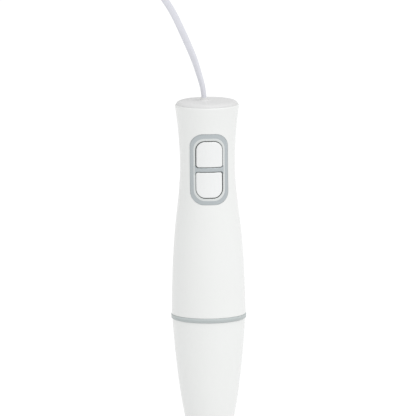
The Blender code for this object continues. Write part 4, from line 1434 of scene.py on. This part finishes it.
def make_tie():
    """A soft strap around the hank's waist, closed with a small button."""
    half, top = 3.0, node_box("cord_tie")[1][2] + 0.2
    outer, inner = (
        round_rect(5.0, 0.1, top, 2.2, 2.2, inset, 8, 4) for inset in (0, 0.8)
    )
    between = (outer + inner) / 2
    stations = [
        (-half, inner), (-half, between), (0.3 - half, outer), (half - 0.3, outer),
        (half, between), (half, inner),
    ]
    loops = [[(TIE_X + x, y, z) for y, z in outline] for x, outline in stations]
    strap = rings("hank_strap", loops, ["inner_plastic"], wrap=True)
    stud = lathe(
        "strap_stud",
        softened([(0, 15.0, 0), (1.8, 15.0, 0.5), (2.0, 13.2, 0), (0, 13.0, 0)], closed=False),
        ["inner_plastic"], 32, (TIE_X, 0), False,
    )
    return place(merged(strap, stud), "foot", ["cord_tie"])


# ---------------------------------------------------------------- inside


def refined(node, slot, body, bevel):
    """A CAD node's own shape, with its flat faces rejoined and its edges eased."""
    mesh = bpy.data.meshes.new(f"{node}_eased")
    with editing(mesh) as bm:
        bm.from_mesh(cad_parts[node].data)
        bmesh.ops.remove_doubles(bm, verts=bm.verts[:], dist=1e-6)
        bmesh.ops.dissolve_limit(bm, angle_limit=radians(1), verts=bm.verts[:], edges=bm.edges[:])
    piece = new_object(f"{node}_eased", mesh, [slot])
    edges = piece.modifiers.new("Edges", "BEVEL")
    edges.width = bevel * MM
    edges.segments = 2
    edges.angle_limit = radians(45)
    settled(piece)
    return place(piece, body, [node])


def make_inside():
    """The motor, the switch gear and the clamp, which stay inside the handle."""
    plain = {
        "motor_unit": {
            "cord_clamp": "inner_plastic", "lower_motor_bracket": "inner_plastic",
            "upper_motor_bracket": "inner_plastic", "switch_board": "board",
            "low_speed_switch": "black_plastic", "turbo_switch": "black_plastic",
            "suppression_capacitor": "inner_plastic", "brush_holder_left": "brass",
            "brush_holder_right": "brass", "carbon_brush_left": "carbon",
            "carbon_brush_right": "carbon", "stator_core": "lamination",
            "field_coil_left": "copper", "field_coil_right": "copper", "motor_damper": "rubber",
        },
        "rotor": {"armature_core": "lamination", "commutator": "copper"},
        "upper_button_set": {"upper_plunger": "black_plastic"},
        "lower_button_set": {"lower_plunger": "black_plastic"},
    }
    for body, nodes in plain.items():
        for node, slot in nodes.items():
            refined(node, slot, body, 0.12 if node.startswith("carbon") else 0.2)
    turned(
        "motor_spindle", "rotor", "armature_shaft", "steel",
        [(0, 269, 0), (2.5, 269, 0.5), (2.5, 176.5, 0.5), (0, 176.5, 0)], 64, closed=False,
    )
    for name, low, high in (("lower", 209.6, 217.7), ("upper", 238.3, 246.4)):
        middle, half = (low + high) / 2, (high - low) / 2
        arc = [(1.05 * cos(t), middle + half * sin(t)) for t in np.linspace(pi / 2, -pi / 2, 13)]
        strand = lathe("strand", arc, ["copper"], 12, (7.9, 0), False)
        ends = copies(f"{name}_winding_ends", strand, 24, "copper")
        outline = [
            (9, high, 1), (12.4, high - 2.5, 1.5), (12.4, low + 2.5, 1.5), (9, low, 1),
            (2.8, low, 0), (2.8, high, 0),
        ]
        core = lathe(f"{name}_winding", softened(outline), ["copper"], 72)
        place(merged(core, ends), "rotor", [f"{name}_armature_winding"])
    outline = [
        (5, 199.6, 0.4), (5, 193.8, 0.8), (18.4, 193, 0.3), (18.4, 192, 0.3), (2.8, 192, 0.2),
        (2.8, 199.6, 0.2),
    ]
    fan = lathe("fan_wheel", softened(outline), ["black_plastic"], 96)
    vane = block("vane", (-6.6, -0.5, 192.6), (6.6, 0.5, 199), ["black_plastic"], 0.25)
    moved(vane, (11, 0, 0), radians(18), "Z")
    merged(fan, copies("fan_vanes", vane, 9, "black_plastic"))
    place(fan, "rotor", ["cooling_fan"])
    make_bushes("motor_unit", [
        ("lower_motor_bush", "lower_motor_bushing", 201, 208.6),
        ("upper_motor_bush", "upper_motor_bushing", 259.2, 266.5),
    ])
    screw = make_screw(STATOR_SCREW_R, -204.5, -262.8, 2.6, 1.4)
    moved(screw, (0, 0, 0), pi, "X")
    screws = copies("stator_screws", screw, 2, "steel", pi / 2)
    place(screws, "motor_unit", ["motor_screw_front", "motor_screw_rear"])
    turned(
        "diode", "motor_unit", "speed_diode", "black_plastic",
        [
            (0, 336, 0), (0.4, 336, 0), (0.4, 331, 0), (1.7, 331, 0.3), (1.7, 324, 0.3),
            (0.4, 324, 0), (0.4, 319, 0), (0, 319, 0),
        ], 32, False, (5, -2.9),
    )


# ---------------------------------------------------------------- operators and panel


class HANDBLENDER_OT_stage(bpy.types.Operator):
    """Make the camera, the floor and the light."""

    bl_idname = "handblender.stage"
    bl_label = "Stage"
    bl_options = {"REGISTER", "UNDO"}

    def execute(self, context):
        make_camera()
        make_stage()
        return {"FINISHED"}


class HANDBLENDER_OT_lead(bpy.types.Operator):
    """Make the mains lead with its hank, strap and plug."""

    bl_idname = "handblender.lead"
    bl_label = "Mains lead"
    bl_options = {"REGISTER", "UNDO"}

    def execute(self, context):
        lead, path, length = make_lead()
        pieces = [make_tie(), *make_plug()]
        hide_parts("power_cord", "cord_hank")
        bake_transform(lead)
        return {"FINISHED"}


class HANDBLENDER_OT_handle(bpy.types.Operator):
    """Make the handle's shells, cap, lead sleeve and joint ring."""

    bl_idname = "handblender.handle"
    bl_label = "Handle"
    bl_options = {"REGISTER", "UNDO"}

    def execute(self, context):
        make_handle()
        return {"FINISHED"}


class HANDBLENDER_OT_buttons(bpy.types.Operator):
    """Make the bezel and its two push buttons with their springs."""

    bl_idname = "handblender.buttons"
    bl_label = "Buttons"
    bl_options = {"REGISTER", "UNDO"}

    def execute(self, context):
        make_bezel()
        make_button("upper")
        make_button("lower")
        return {"FINISHED"}


class HANDBLENDER_OT_foot(bpy.types.Operator):
    """Make the foot, its bell guard and what its socket holds."""

    bl_idname = "handblender.foot"
    bl_label = "Foot"
    bl_options = {"REGISTER", "UNDO"}

    def execute(self, context):
        make_foot()
        make_foot_inside()
        return {"FINISHED"}


class HANDBLENDER_OT_blade(bpy.types.Operator):
    """Make the blade, its spindle and its nut."""

    bl_idname = "handblender.blade"
    bl_label = "Blade"
    bl_options = {"REGISTER", "UNDO"}

    def execute(self, context):
        make_blade()
        return {"FINISHED"}


class HANDBLENDER_OT_coupling(bpy.types.Operator):
    """Make the claw coupling, and the cover around it."""

    bl_idname = "handblender.coupling"
    bl_label = "Coupling"
    bl_options = {"REGISTER", "UNDO"}

    def execute(self, context):
        make_couplings()
        make_cover()
        return {"FINISHED"}


class HANDBLENDER_OT_inside(bpy.types.Operator):
    """Make the motor and the switch gear inside the handle."""

    bl_idname = "handblender.inside"
    bl_label = "Motor and switches"
    bl_options = {"REGISTER", "UNDO"}

    def execute(self, context):
        make_inside()
        return {"FINISHED"}


OPERATORS = [
    HANDBLENDER_OT_stage, HANDBLENDER_OT_lead, HANDBLENDER_OT_handle, HANDBLENDER_OT_buttons,
    HANDBLENDER_OT_foot, HANDBLENDER_OT_blade, HANDBLENDER_OT_coupling, HANDBLENDER_OT_inside,
]


class HANDBLENDER_PT_panel(bpy.types.Panel):
    bl_idname = "HANDBLENDER_PT_panel"
    bl_label = "Hand blender"
    bl_space_type = "VIEW_3D"
    bl_region_type = "UI"
    bl_category = "Hand blender"

    def draw(self, context):
        for group in ("handblender_sizes", "handblender_colours", "handblender_stage"):
            settings = getattr(context.scene, group)
            box = self.layout.box()
            for label in settings.__annotations__:
                box.prop(settings, label)
        for operator in OPERATORS:
            self.layout.operator(operator.bl_idname)


GROUPS = {
    "handblender_sizes": HANDBLENDER_PG_sizes,
    "handblender_colours": HANDBLENDER_PG_colours,
    "handblender_stage": HANDBLENDER_PG_stage,
}


def register():
    for kind in [*GROUPS.values(), *OPERATORS, HANDBLENDER_PT_panel]:
        bpy.utils.register_class(kind)
    for label, kind in GROUPS.items():
        setattr(bpy.types.Scene, label, PointerProperty(type=kind))


def unregister():
    for label in GROUPS:
        delattr(bpy.types.Scene, label)
    for kind in reversed([*GROUPS.values(), *OPERATORS, HANDBLENDER_PT_panel]):
        bpy.utils.unregister_class(kind)


def main():
    register()
    for operator in OPERATORS:
        family, action = operator.bl_idname.split(".")
        getattr(getattr(bpy.ops, family), action)()


if __name__ == "__main__":
    main()
